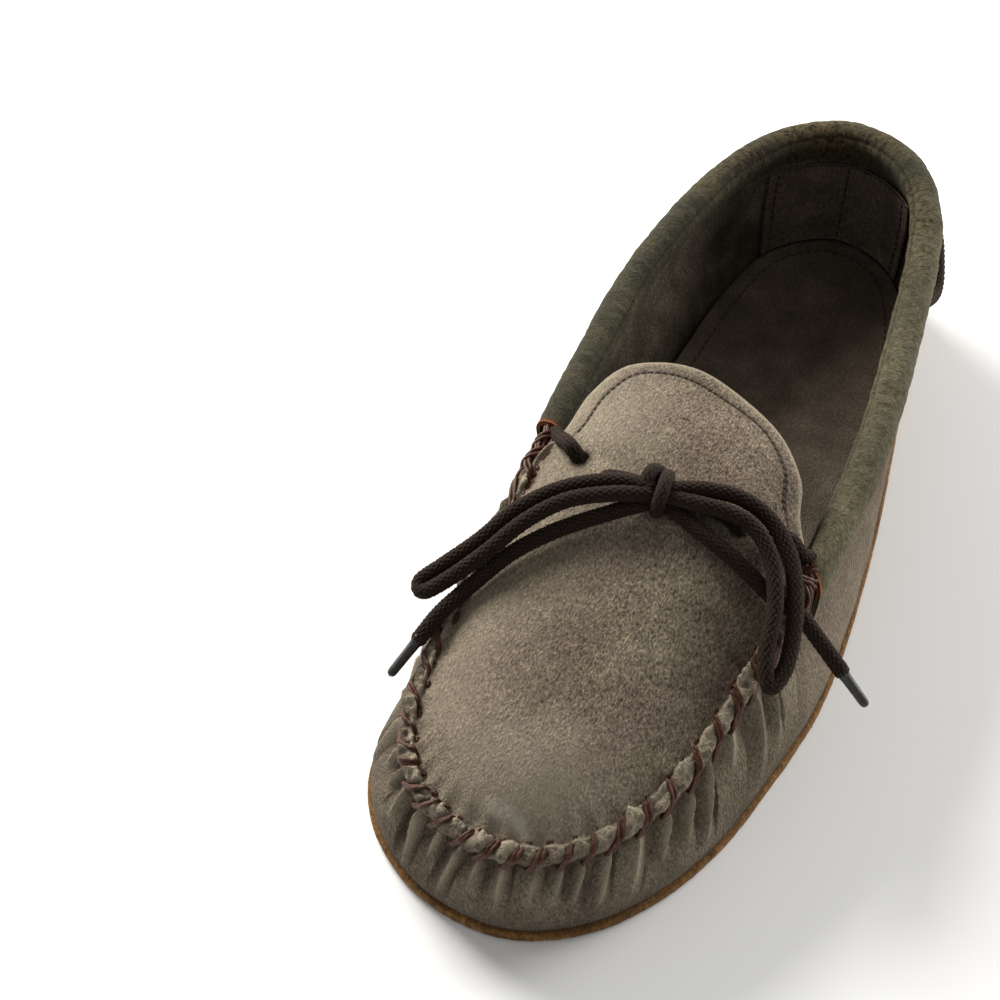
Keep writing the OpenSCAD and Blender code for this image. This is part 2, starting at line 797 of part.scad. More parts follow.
module aglet_right() {
  color([0.12, 0.11, 0.11])
    place()
      aglet(tail_right_pts);
}

module tongue() {
  color([0.54, 0.49, 0.43])
    place()
      skin_shell(concat(tongue_rows, [tongue_cut]), suede_t);
}

module tongue_edge_stitching() {
  // how far out the seam runs, as a share of the half width
  seam_u = 0.86;
  color([0.14, 0.1, 0.08])
    place()
      for (k = [0 : 27])
        let(
          q = 5.6 + k * 0.17,
          r = q < 8 ? q : 16 - q,
          q2 = q + 0.1,
          r2 = q2 < 8 ? q2 : 16 - q2,
          a = skin(min(r, 7.86), q < 8 ? seam_u : -seam_u),
          b = skin(min(r2, 7.86), q2 < 8 ? seam_u : -seam_u)
        )
          if (norm(b - a) > 1)
            stitch(a + up * 0.22, b + up * 0.22, up, stitch_d, stitch_rise);
}

outsole();
midsole_cushion();
insole();
insole_stitching();
moccasin_wrap();
heel_counter();
heel_lining();
heel_lining_stitching();
back_seam_stitching();
apron();
apron_whip_stitching();
collar_binding();
collar_stitching();
lace_collar_run();
lace_knot();
lace_loop_left();
lace_loop_right();
lace_tail_left();
lace_tail_right();
aglet_left();
aglet_right();
tongue();
tongue_edge_stitching();
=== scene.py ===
import bpy
import math
import numpy as np
from mathutils import Matrix, Vector


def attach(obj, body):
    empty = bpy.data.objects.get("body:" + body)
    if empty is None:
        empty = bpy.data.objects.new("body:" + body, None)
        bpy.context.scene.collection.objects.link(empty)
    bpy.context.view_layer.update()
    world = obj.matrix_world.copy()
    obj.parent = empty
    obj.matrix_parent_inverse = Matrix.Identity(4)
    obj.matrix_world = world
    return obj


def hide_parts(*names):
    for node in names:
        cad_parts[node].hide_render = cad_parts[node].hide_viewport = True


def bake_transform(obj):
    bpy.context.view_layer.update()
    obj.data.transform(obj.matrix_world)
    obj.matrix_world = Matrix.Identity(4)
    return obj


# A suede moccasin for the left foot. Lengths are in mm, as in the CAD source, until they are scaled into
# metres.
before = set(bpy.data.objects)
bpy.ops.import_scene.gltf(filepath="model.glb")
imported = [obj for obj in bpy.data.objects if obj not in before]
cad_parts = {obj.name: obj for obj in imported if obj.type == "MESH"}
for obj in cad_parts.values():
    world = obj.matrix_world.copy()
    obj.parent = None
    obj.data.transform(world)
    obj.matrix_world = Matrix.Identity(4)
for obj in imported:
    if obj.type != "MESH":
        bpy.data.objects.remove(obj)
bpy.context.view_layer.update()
MM = 0.001
scene = bpy.context.scene
scene.view_settings.view_transform = "Standard"
scene.view_settings.look = "None"

# ------------------------------------------------------------------ sizes, as in the CAD source (mm)
L = 285.0
heel_z, side_z, toe_z, corner_z, instep = 58.0, 50.0, 30.0, 49.0, 62.0
outsole_t, lip, suede_t, gap = 3.2, 1.2, 1.6, 0.15
floor_z = outsole_t + gap
upper_floor_z = floor_z + suede_t
collar_r, collar_t, collar_leg, collar_low, edge_drop = 5.0, 1.3, 8.0, 2.4, 5.2
lace_d = 4.2
N_ST = 18  # stations round the outline: 0 at the heel, along the outer side to 9 at the toe, and back
S0, S1 = 13.24, N_ST + 4.88  # the collar's ends: from the inner side round the heel to the outer side
HEEL_X, BALL_X, TOE_X = 3, -14, -22  # the sole's middle line at the heel, the ball and the toe
SIDES = 40  # round the lace
PER = 24  # points from one control point of a cord to the next


def pts(rows):
    return np.array(rows, float)


def hx(d):
    return HEEL_X + d


def bx(d):
    return BALL_X + d


def tx(d):
    return TOE_X + d


SOLE = pts([
    (hx(0), .495 * L), (hx(23), .453 * L), (hx(34), .351 * L), (hx(38), .175 * L),
    (bx(57), .014 * L), (bx(55.5), -.147 * L), (bx(49), -.256 * L), (tx(44.5), -.379 * L),
    (tx(25), -.467 * L), (tx(0), -.505 * L), (tx(-28), -.481 * L), (tx(-47), -.404 * L),
    (bx(-56), -.288 * L), (bx(-48), -.105 * L), (hx(-50), .070 * L), (hx(-41), .211 * L),
    (hx(-34), .351 * L), (hx(-23), .449 * L)])
TOP = pts([
    (hx(1), .470 * L, heel_z), (hx(21), .432 * L, heel_z - .5), (hx(31), .344 * L, heel_z - 3),
    (hx(33.5), .175 * L, side_z + 2), (bx(50), .014 * L, side_z), (bx(44.5), -.151 * L, corner_z),
    (bx(36.5), -.260 * L, corner_z * .4 + toe_z * .72), (tx(35), -.372 * L, toe_z + 4),
    (tx(19), -.449 * L, toe_z + 1), (tx(-1), -.477 * L, toe_z), (tx(-23), -.453 * L, toe_z + .5),
    (tx(-35), -.389 * L, toe_z + 2.5), (bx(-44), -.281 * L, corner_z * .4 + toe_z * .63),
    (bx(-37.5), -.098 * L, corner_z), (hx(-51.5), .070 * L, side_z + 1), (hx(-47.5), .211 * L, side_z + 3),
    (hx(-35.5), .358 * L, heel_z - 2.5), (hx(-20), .439 * L, heel_z - .5)])


def ease(t):
    t = np.clip(t, 0, 1)
    return t * t * (3 - 2 * t)


def cubic(p0, p1, p2, p3, t):
    square, cube = 2 * p0 - 5 * p1 + 4 * p2 - p3, 3 * p1 - p0 - 3 * p2 + p3
    return .5 * (2 * p1 + (p2 - p0) * t + square * t * t + cube * t ** 3)


def curve(p, s):
    """Point at s on the closed curve through p."""
    n = len(p)
    q = np.mod(np.asarray(s, float), n)
    i = np.floor(q).astype(int)
    t = (q - i)[..., None]
    return cubic(p[(i - 1) % n], p[i % n], p[(i + 1) % n], p[(i + 2) % n], t)


def open_curve(p, s):
    """Point at s on the open curve through p."""
    p = np.asarray(p, float)
    ext = np.vstack([2 * p[0] - p[1], p, 2 * p[-1] - p[-2]])
    c = np.clip(np.asarray(s, float), 0, len(p) - 1)
    i = np.minimum(np.floor(c).astype(int), len(p) - 2)
    t = (c - i)[..., None]
    return cubic(ext[i], ext[i + 1], ext[i + 2], ext[i + 3], t)


def unit(v):
    return v / np.maximum(np.linalg.norm(v, axis=-1, keepdims=True), 1e-12)


def out_dir(s):
    """Outward direction seen from above, with a zero third part."""
    s = np.asarray(s, float)
    a = unit(curve(SOLE, s + .05) - curve(SOLE, s - .05))
    b = unit((curve(TOP, s + .05) - curve(TOP, s - .05))[..., :2])
    t = unit(a + b)
    return np.stack([-t[..., 1], t[..., 0], np.zeros_like(t[..., 0])], -1)


def sole_at(s, d):
    """The sole's outline, d outside it, as x and y."""
    return curve(SOLE, s) + out_dir(s)[..., :2] * np.asarray(d, float)[..., None]


def in_front(s):
    """1 beside the apron and 0 under the collar, where the wall's top edge lies lower."""
    q = np.mod(s, N_ST)
    return np.clip(np.minimum(q - 4.66, 13.44 - q) / .22, 0, 1)


def top_at(s):
    return curve(TOP, s)


def wall_top(s):
    p = top_at(s).copy()
    p[..., 2] -= edge_drop * (1 - in_front(s))
    return p


def with_z(p, z):
    return np.concatenate([p[..., :2], np.broadcast_to(np.asarray(z, float), p.shape[:-1])[..., None]], -1)


UP = np.array([0, 0, 1.0])
swell = 3.0  # how far the wall bulges


def wall(s, v, d):
    """Point of the upper's wall: s round it, v from 0 at the floor to 1 at the top, d outside its middle."""
    s, v, d = np.broadcast_arrays(np.asarray(s, float), np.asarray(v, float), np.asarray(d, float))
    n3 = out_dir(s)
    a = with_z(sole_at(s, -lip - suede_t / 2), floor_z)
    b = wall_top(s)
    h = (b[..., 2] - a[..., 2])[..., None]
    a1 = a + n3 * swell * .3 + UP * h * .35
    b1 = b + n3 * swell - UP * h * .35
    v_ = v[..., None]
    w = 1 - v_
    return a * w ** 3 + a1 * 3 * w * w * v_ + b1 * 3 * w * v_ * v_ + b * v_ ** 3 + n3 * d[..., None]


_o = sole_at(np.arange(108) * N_ST / 108, 0)
# the middle of the sole's outline box is the frame's origin
MID = np.array([(_o[:, 0].max() + _o[:, 0].min()) / 2, (_o[:, 1].max() + _o[:, 1].min()) / 2, 0.0])

# ------------------------------------------------------------------ skin of the apron and tongue
seam_in = suede_t / 2 + .25


def seam_edge(s):
    p = top_at(s) - out_dir(s) * seam_in
    p[..., 2] -= .3
    return p


R_CORNER, L_CORNER = seam_edge(np.array(5.0)), seam_edge(np.array(13.0))
C_MID = (R_CORNER + L_CORNER) / 2


def tongue_pt(x, y, z):
    return [C_MID[0] + x, C_MID[1] + y, z]


TONGUE = pts([
    R_CORNER, tongue_pt(34, 5, instep - 7), tongue_pt(31, 16, instep - 3), tongue_pt(20, 29, instep + .5),
    tongue_pt(-3, 40, instep + 3.5), tongue_pt(-22, 38.5, instep + 1.5), tongue_pt(-30.5, 28, instep - 2),
    tongue_pt(-34, 16.5, instep - 6.5), L_CORNER])
spine_front, spine_back = -.36 * L, C_MID[1] + 22
CROWN_Y = np.array([spine_front - 20, spine_front, spine_front + 26, spine_front + 48,
                    C_MID[1], C_MID[1] + 16, C_MID[1] + 42])
CROWN_Z = np.array([toe_z + 11, toe_z + 14, toe_z + 21.5, instep - 4.5, instep, instep + 2.5, instep + 4])


def crown(y):
    return sum(np.interp(y + k, CROWN_Y, CROWN_Z) for k in (-9, -3, 3, 9)) / 4


def edges(r):
    """Outer and inner edge of the skin: r is 0 at the toe, 4 at the corners, 8 at the tongue's end."""
    r = np.asarray(r, float)
    front = (r <= 4)[..., None]
    a = np.where(front, seam_edge(9 - np.minimum(r, 4)), open_curve(TONGUE, np.maximum(r, 4) - 4))
    b = np.where(front, seam_edge(9 + np.minimum(r, 4)), open_curve(TONGUE, 12 - np.maximum(r, 4)))
    return a, b


def spine(r):
    a, b = edges(r)
    m = (a + b) / 2
    y = m[..., 1]
    y = (y + spine_front + np.sqrt((y - spine_front) ** 2 + 14 ** 2)) / 2
    y = (y + spine_back - np.sqrt((y - spine_back) ** 2 + 8 ** 2)) / 2
    return np.stack([m[..., 0], y, crown(y)], -1)


def skin(r, u):
    """Point of the domed skin: r as in edges, u from -1 on the inner edge to 1 on the outer edge."""
    r, u = np.broadcast_arrays(np.asarray(r, float), np.asarray(u, float))
    a, b = edges(r)
    e = np.where((u >= 0)[..., None], a, b)
    m = spine(r)
    k = np.abs(u)[..., None]
    p = m + (e - m) * k
    p[..., 2] = m[..., 2] + (e[..., 2] - m[..., 2]) * k[..., 0] ** 2.4
    return p


def apron_fold(p):
    """Slow waves of the soft skin."""
    return .55 * noise3(p, 30, 61) + .2 * noise3(p, 10, 62)


def edge_rise(inset):
    """How the apron turns up against the ridge, with a valley before it."""
    return 1.5 * ease((1.3 - inset) / 1.3) - .4 * np.exp(-((inset - 3.2) / 1.6) ** 2)


# ------------------------------------------------------------------ seeded noise
def noise3(p, size, seed):
    """Smooth value noise, features about size mm across, -1 to 1."""
    q = np.asarray(p, float) / size + 1000.0
    i = np.floor(q).astype(np.int64)
    f = q - i
    f = f * f * (3 - 2 * f)

    def h(dx, dy, dz):
        x = (i[..., 0] + dx) * 73856093 ^ (i[..., 1] + dy) * 19349663
        x = x ^ (i[..., 2] + dz) * 83492791 ^ (seed * 2654435761)
        x = (x ^ (x >> 13)) * 1274126177 & 0xFFFFFFFF
        return ((x ^ (x >> 16)) & 0xFFFF) / 32767.5 - 1
    out = 0
    for dx in (0, 1):
        wx = f[..., 0] if dx else 1 - f[..., 0]
        for dy in (0, 1):
            wy = f[..., 1] if dy else 1 - f[..., 1]
            for dz in (0, 1):
                wz = f[..., 2] if dz else 1 - f[..., 2]
                out = out + wx * wy * wz * h(dx, dy, dz)
    return out


def pick(i, seed):
    """Seeded number 0 to 1 for a whole number."""
    x = np.asarray(i, np.int64) * 374761393 + seed * 668265263
    x = (x ^ (x >> 13)) * 1274126177 & 0xFFFFFFFF
    return ((x ^ (x >> 16)) & 0xFFFF) / 65535.0


# ------------------------------------------------------------------ materials
class Graph:
    """A material's node tree, with short names for the nodes used here."""

    def __init__(self, name, rough, sheen=0.0, sheen_tint=(1, 1, 1), spec=.3):
        self.m = bpy.data.materials.new(name)
        self.m.use_nodes = True
        self.n, self.l = self.m.node_tree.nodes, self.m.node_tree.links
        self.b = self.n["Principled BSDF"]
        self.b.inputs["Roughness"].default_value = rough
        self.b.inputs["Specular IOR Level"].default_value = spec
        self.b.inputs["Sheen Weight"].default_value = sheen
        self.b.inputs["Sheen Roughness"].default_value = .5
        self.b.inputs["Sheen Tint"].default_value = (*sheen_tint, 1)
        self.co = self.n.new("ShaderNodeTexCoord").outputs["Object"]

    def put(self, sock, value):
        if isinstance(value, bpy.types.NodeSocket):
            self.l.new(value, sock)
        else:
            sock.default_value = value

    def noise(self, scale, detail=2.0, rough=.5, stretch=None):
        t = self.n.new("ShaderNodeTexNoise")
        t.inputs["Scale"].default_value = scale
        t.inputs["Detail"].default_value = detail
        t.inputs["Roughness"].default_value = rough
        co = self.co
        if stretch:
            mp = self.n.new("ShaderNodeMapping")
            mp.inputs["Scale"].default_value = stretch
            self.l.new(co, mp.inputs["Vector"])
            co = mp.outputs["Vector"]
        self.l.new(co, t.inputs["Vector"])
        return t.outputs["Fac"]

    def attr(self, name):
        t = self.n.new("ShaderNodeAttribute")
        t.attribute_name = name
        return t.outputs["Fac"]

    def ramp(self, fac, stops):
        t = self.n.new("ShaderNodeValToRGB")
        e = t.color_ramp.elements
        while len(e) < len(stops):
            e.new(.5)
        for x, (pos, col) in zip(e, stops):
            x.position = pos
            x.color = (*col, 1)
        self.l.new(fac, t.inputs["Fac"])
        return t.outputs["Color"]

    def math(self, op, a, b, clamp=False):
        t = self.n.new("ShaderNodeMath")
        t.operation = op
        t.use_clamp = clamp
        self.put(t.inputs[0], a)
        self.put(t.inputs[1], b)
        return t.outputs[0]

    def blend(self, a, share, b):
        """a times share plus b times the rest."""
        rest = self.math("MULTIPLY", b, round(1 - share, 3))
        return self.math("ADD", self.math("MULTIPLY", a, share), rest)

    def mix(self, fac, a, b, mode="MIX"):
        t = self.n.new("ShaderNodeMix")
        t.data_type = "RGBA"
        t.blend_type = mode
        self.put(t.inputs[0], fac)
        self.put(t.inputs[6], a if not isinstance(a, tuple) else (*a, 1))
        self.put(t.inputs[7], b if not isinstance(b, tuple) else (*b, 1))
        return t.outputs[2]

    def stain_and_shade(self, col, att, amount, tint):
        """Lay tint over col where the mesh's attribute says so: real marks, and painted light and shade."""
        return self.mix(self.math("MULTIPLY", self.attr(att), amount, True), col, tint)

    def bump(self, height, dist, strength=1.0):
        t = self.n.new("ShaderNodeBump")
        t.inputs["Distance"].default_value = dist
        t.inputs["Strength"].default_value = strength
        self.l.new(height, t.inputs["Height"])
        return t.outputs["Normal"]

    def out(self, color, normal):
        self.l.new(color, self.b.inputs["Base Color"])
        self.l.new(normal, self.b.inputs["Normal"])
        return self.m


def srgb(*rgb):
    return tuple((x / 255 / 12.92) if x / 255 <= .04045 else ((x / 255 + .055) / 1.055) ** 2.4 for x in rgb)


BLACK, WHITE = (0, 0, 0), (1, 1, 1)


def suede(name, dark, mid, light, blotch=26, stain_and_shade=(), speck=.85, nap=(1.25, .62, 1), drift=None):
    """Napped leather: cloudy blotches where the nap lies differently, fine granular tufts, soft sheen."""
    grain = 1550
    g = Graph(name, .93, .2, mid, .18)
    cloud = g.blend(g.noise(blotch, 2, .5), .72, g.noise(blotch * 4, 1, .5))
    base = g.ramp(cloud, [(.3, dark), (.5, mid), (.7, light)])
    if drift:
        hue = g.ramp(g.noise(blotch * 1.7, 1, .5, (1, 1, 1.6)), [(.42, BLACK), (.66, WHITE)])
        base = g.mix(g.math("MULTIPLY", hue, .55), base, drift)
    grit = g.blend(g.noise(grain, 2.5, .68, nap), .78, g.noise(grain * .45, 1, .5, nap))
    shade = g.ramp(grit, [(.36, (.07, .065, .06)), (.46, (.41, .41, .41)), (.54, (.54, .54, .535)),
                          (.62, (1, .99, .96))])
    col = g.mix(speck, base, shade, "OVERLAY")
    for att, tint, amount in stain_and_shade:
        col = g.stain_and_shade(col, att, amount, tint)
    return g.out(col, g.bump(grit, .0011))


# the wrap's crease tint is painted shade; its edge tint is painted highlight on the pleats' crests and the
# lighter raw edge of the ridge
M_wrap = suede("suede_outer", srgb(78, 68, 55), srgb(99, 89, 75), srgb(122, 112, 95), 22, nap=(1, 1, .55),
               speck=.55, drift=srgb(102, 88, 78),
               stain_and_shade=[("crease", srgb(30, 24, 18), .85), ("edge", srgb(164, 153, 132), .85)])
M_apron = suede("suede_apron", srgb(91, 80, 67), srgb(112, 101, 85), srgb(134, 123, 105), 30,
                drift=srgb(112, 96, 87),
                # painted highlight on the inner side and towards the toe
                stain_and_shade=[("painted_highlight", srgb(172, 160, 140), .5), ("edge", srgb(158, 147, 127), .8),
                       # the crease tint is painted shade round the lace holes and in the tongue's seam groove
                       ("scuff", srgb(184, 175, 160), .8), ("crease", srgb(20, 16, 12), .9)])
# the crease tint is painted shade: low inside the wall by the floor, and round the lace holes and the seam
# groove on the apron's underside
M_inside = suede("suede_inside", srgb(52, 46, 37), srgb(78, 70, 58), srgb(108, 99, 84), 30, nap=(1, 1, .6),
                 speck=.55, stain_and_shade=[("crease", srgb(34, 28, 22), .8)])
M_lining = suede("suede_lining", srgb(76, 66, 57), srgb(98, 87, 76), srgb(122, 110, 97), nap=(1, 1, .6),
                 speck=.5)
M_insole = suede("suede_insole", srgb(70, 61, 52), srgb(92, 81, 69), srgb(112, 100, 86), 24, speck=.4,
                 stain_and_shade=[("wear", srgb(50, 43, 37), .5)])


def collar_mat():
    """Dark olive nap that lies across the band in short bristles, worn to ochre at the back."""
    g = Graph("suede_collar", .92, .25, srgb(90, 88, 72), .18)
    cloud = g.noise(34, 3, .6)
    base = g.ramp(cloud, [(.32, srgb(40, 40, 31)), (.5, srgb(56, 54, 42)), (.68, srgb(76, 69, 51))])
    # from here on the pattern follows the band: along it and round its section
    co = g.n.new("ShaderNodeCombineXYZ")
    g.l.new(g.attr("along"), co.inputs[0])
    g.l.new(g.attr("round"), co.inputs[1])
    g.co = co.outputs[0]
    grit = g.blend(g.noise(1800, 2, .65, (1, .45, 1)), .74, g.noise(500, 2, .6, (1, .6, 1)))
    shade = g.ramp(grit, [(.34, (.14, .14, .13)), (.5, (.46, .46, .45)), (.58, (.6, .59, .56)),
                          (.68, (1, .97, .88))])
    col = g.stain_and_shade(base, "ochre", .6, srgb(84, 68, 40))
    col = g.stain_and_shade(col, "pale", .7, srgb(104, 98, 76))
    dapple = g.ramp(g.noise(640, 3, .7, (1, .6, 1)), [(.47, BLACK), (.6, WHITE)])
    worn = g.math("ADD", g.math("MULTIPLY", g.attr("ochre"), .75), .32)
    col = g.mix(g.math("MULTIPLY", dapple, worn, True), col, srgb(30, 26, 17))
    col = g.mix(.75, col, shade, "OVERLAY")
    # painted shade along the crease on the roll's inner side
    col = g.stain_and_shade(col, "fold", .6, srgb(24, 22, 16))
    col = g.stain_and_shade(col, "cut", .85, srgb(126, 70, 30))
    return g.out(col, g.bump(grit, .0007))


def edge_leather():
    """Brown fibreboard with the layers of its cut edge showing."""
    g = Graph("outsole_leather", .8, .1, (.3, .2, .1), .25)
    fib = g.noise(900, 4, .7, (1, 1, .22))
    lay = g.noise(260, 2, .5, (.3, .3, 3))
    col = g.ramp(g.blend(fib, .7, lay), [(.3, srgb(52, 34, 16)), (.5, srgb(104, 72, 34)),
                                         (.7, srgb(150, 110, 58))])
    return g.out(col, g.bump(fib, .0004, .9))


def braid_mat(name, dark, mid, light):
    g = Graph(name, .88, .05, (.5, .42, .33), .16)
    fib = g.noise(3200, 3, .6)
    col = g.ramp(fib, [(.3, dark), (.55, mid), (.8, light)])
    # painted shade in the grooves where the strands dip under each other
    col = g.stain_and_shade(col, "groove", .85, tuple(c * .25 for c in dark))
    return g.out(col, g.bump(fib, .00012, .8))


def thread_mat(name, dark, mid, light, rough=.6, spec=.35):
    g = Graph(name, rough, .1, mid, spec)
    fib = g.noise(2600, 3, .6)
    col = g.ramp(fib, [(.3, dark), (.55, mid), (.78, light)])
    # painted shade in the grooves between the plies and at the stitches' ends
    col = g.stain_and_shade(col, "groove", .8, tuple(c * .3 for c in dark))
    return g.out(col, g.bump(fib, .0001, .8))


def plastic():
    g = Graph("aglet_plastic", .42, 0, WHITE, .45)
    s = g.noise(1500, 3, .6, (1, 1, .2))
    col = g.ramp(s, [(.3, srgb(30, 29, 29)), (.6, srgb(46, 44, 43)), (.8, srgb(66, 63, 60))])
    return g.out(col, g.bump(s, .00005, .5))


def hidden_mat(name, col):
    g = Graph(name, .9, 0, WHITE, .2)
    f = g.noise(700, 3, .6)
    return g.out(g.ramp(f, [(.3, tuple(c * .7 for c in col)), (.7, col)]), g.bump(f, .0002, .6))


M_collar = collar_mat()
M_outsole = edge_leather()
M_lace = braid_mat("lace_braid", srgb(22, 15, 10), srgb(46, 34, 26), srgb(82, 64, 48))
M_whip = thread_mat("waxed_thread", srgb(38, 18, 9), srgb(84, 44, 23), srgb(124, 78, 45), .55, .32)
M_sock = thread_mat("sock_thread", srgb(40, 33, 27), srgb(58, 49, 41), srgb(76, 66, 56))
M_fine = thread_mat("fine_thread", srgb(26, 19, 14), srgb(46, 36, 28), srgb(70, 56, 44))
M_aglet = plastic()


# ------------------------------------------------------------------ mesh helpers
def make(name, verts, faces, mats, slots, body, attrs):
    """A smooth mesh object from points in mm and quads. It rides on body, or on none yet."""
    v = (np.asarray(verts, float) - MID) * MM
    me = bpy.data.meshes.new(name)
    me.vertices.add(len(v))
    me.vertices.foreach_set("co", v.astype(np.float32).ravel())
    me.loops.add(faces.size)
    me.loops.foreach_set("vertex_index", faces.astype(np.int32).ravel())
    me.polygons.add(len(faces))
    me.polygons.foreach_set("loop_start", np.arange(0, faces.size, faces.shape[1], dtype=np.int32))
    me.update(calc_edges=True)
    me.validate()
    for m in (mats if isinstance(mats, list) else [mats]):
        me.materials.append(m)
    if slots is not None:
        me.polygons.foreach_set("material_index", np.asarray(slots, np.int32))
    me.polygons.foreach_set("use_smooth", np.ones(len(me.polygons), bool))
    for k, a in attrs.items():
        at = me.attributes.new(k, "FLOAT", "POINT")
        at.data.foreach_set("value", np.asarray(a, np.float32).ravel())
    me.update()
    o = bpy.data.objects.new(name, me)
    scene.collection.objects.link(o)
    if body:
        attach(o, body)
    return o


def grid_faces(m, n, wrap_n=False, start=0):
    """Quads of an m x n grid of points, rows first."""
    j = np.arange(m - 1)[:, None]
    i = np.arange(n if wrap_n else n - 1)[None, :]
    i2 = (i + 1) % n
    a, b, c, d = j * n + i, j * n + i2, (j + 1) * n + i2, (j + 1) * n + i
    return np.stack([a, b, c, d], -1).reshape(-1, 4) + start


def join(parts):
    """[(verts, quads, {attr: values})] to one mesh's arrays."""
    vs, fs, at, k = [], [], {}, 0
    for v, f, a in parts:
        vs.append(v)
        fs.append(f + k)
        for name, x in a.items():
            at.setdefault(name, []).append(x)
        k += len(v)
    return np.vstack(vs), np.vstack(fs), {name: np.concatenate(x) for name, x in at.items()}


def arc_of(p):
    """Length along a polyline at each of its points."""
    return np.concatenate([[0], np.cumsum(np.linalg.norm(np.diff(p, axis=0), axis=1))])


def resample(p, step):
    """Points along a polyline about step apart; step may be one number or one for each point."""
    st = np.broadcast_to(np.asarray(step, float), (len(p),))
    arc = arc_of(p)
    cost = np.linalg.norm(np.diff(p, axis=0), axis=1) / ((st[1:] + st[:-1]) / 2)
    c = np.concatenate([[0], np.cumsum(cost)])
    q = np.linspace(0, c[-1], max(3, int(round(c[-1])) + 1))
    out = np.stack([np.interp(q, c, p[:, k]) for k in range(3)], -1)
    return out, np.interp(q, c, arc)


def frames(p):
    """Tangents and two cross directions along p, twisted as little as can be."""
    t = unit(np.gradient(p, axis=0))
    u = np.zeros_like(p)
    ref = UP if abs(t[0] @ UP) <= .95 else np.array([1.0, 0, 0])
    x = unit(ref - t[0] * (t[0] @ ref))
    for i in range(len(p)):
        x = unit(x - t[i] * (t[i] @ x))
        u[i] = x
    return t, u, np.cross(t, u)


def smooth_path(ctrl, per=PER):
    k = (len(ctrl) - 1) * per + 1
    return open_curve(ctrl, np.linspace(0, len(ctrl) - 1, k))


def tube(p, radius, sides, shape, caps=True, arc=None):
    """Sweep a round section along p. shape(theta, arc) gives the radius factor and the groove amount, which
    is painted shade in the grooves.
    """
    t, u, w = frames(p)
    th = np.linspace(0, 2 * math.pi, sides, endpoint=False)
    n = len(p)
    f, g = shape(th[None, :], (arc_of(p) if arc is None else arc)[:, None])
    r = np.broadcast_to(np.asarray(radius, float), (n,))[:, None] * f
    round_ = u[:, None] * np.cos(th)[None, :, None] + w[:, None] * np.sin(th)[None, :, None]
    v = (p[:, None] + r[..., None] * round_).reshape(-1, 3)
    g = np.broadcast_to(g, (n, sides)).reshape(-1)
    faces = grid_faces(n, sides, True)
    if caps:
        # rounded ends from shrinking rings
        extra_v, extra_g, extra_f = [], [], []
        base = n * sides
        after = (np.arange(sides) + 1) % sides
        for end, sign in ((0, -1), (n - 1, 1)):
            ring = np.arange(sides) + end * sides
            prev = ring
            for frac, push in ((.8, .35), (.45, .62), (.05, .72)):
                c = p[end] + sign * t[end] * push * float(r[end].mean())
                idx = base + np.arange(sides)
                extra_v.append(p[end] + (v[ring] - p[end]) * frac + (c - p[end]))
                extra_g.append(g[ring] * .6)
                f4 = np.stack([prev, prev[after], idx[after], idx], -1)
                extra_f.append(f4 if sign > 0 else f4[:, ::-1])
                prev = idx
                base += sides
        v = np.vstack([v, *extra_v])
        g = np.concatenate([g, *extra_g])
        faces = np.vstack([faces, *extra_f])
    return v, faces, {"groove": g}


def braid_shape(strands=10, pitch=1.12, depth=.22):
    """Radius factor of a round braid: two sets of strands crossing over and under."""
    def f(th, arc):
        a = th / (2 * math.pi) * strands
        b = arc / pitch / 2
        x, y = a + b, a - b
        over = (np.floor(x) + np.floor(y)) % 2 == 0
        fx, fy = x - np.floor(x) - .5, y - np.floor(y) - .5
        h = np.where(over, (1 - (2 * fx) ** 2) * (1 - .35 * (2 * fy) ** 2),
                     (1 - (2 * fy) ** 2) * (1 - .35 * (2 * fx) ** 2))
        return 1.02 - depth + depth * 1.25 * h, (1 - h) ** 1.5
    return f


def ply_shape(pitch, depth, plies=2):
    """Radius factor of a twisted thread."""
    def f(th, arc):
        x = np.abs(np.sin((th * plies / 2) + arc / pitch * math.pi))
        return 1 - depth + depth * x ** .6, (1 - x) ** 1.5
    return f


def capsules(pairs, ups, width, height, sink=0.0):
    """Small rounded stitches from a to b on a surface whose outward directions are ups."""
    sides, rings = 8, 7
    x = np.linspace(-1, 1, rings)
    prof = np.sqrt(np.maximum(1 - x ** 4, .0)) * .92 + .08 * (1 - x ** 2)
    prof[0] = prof[-1] = .25
    arch = (1 - x ** 2) * height * .5 - sink - (np.abs(x) > .99) * height * .5
    th = np.linspace(0, 2 * math.pi, sides, endpoint=False)
    # painted shade at both ends of a stitch, where it goes into the leather
    dark = np.repeat(np.abs(x) > .9, sides) * .8
    out = []
    for (a, b), up in zip(pairs, ups):
        t = unit(b - a)
        s = unit(np.cross(t, up))
        n = np.cross(s, t)
        c = (a + b) / 2 + t * (x[:, None] * np.linalg.norm(b - a) / 2) + n * arch[:, None]
        section = s * np.cos(th)[:, None] * width / 2 + n * np.sin(th)[:, None] * height / 2
        v = c[:, None] + prof[:, None, None] * section[None]
        out.append((v.reshape(-1, 3), grid_faces(rings, sides, True), {"groove": dark}))
    return join(out)


def stitches(q, start, end):
    """Ends of one stitch for each step along q, as shares of the step."""
    return [(a * (1 - start) + b * start, a * (1 - end) + b * end) for a, b in zip(q, q[1:])]


def piece(name, node, mesh, mats, slots=None, body="shoe"):
    """Make an object from (verts, quads, attrs) and hide the CAD node it stands for."""
    v, f, a = mesh
    o = make(name, v, f, mats, slots, body, a)
    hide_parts(node)
    return o


def seam(name, node, pairs, ups, width, height, sink=0.0, mat=M_fine, body="shoe"):
    piece(name, node, capsules(pairs, ups, width, height, sink), mat, body=body)


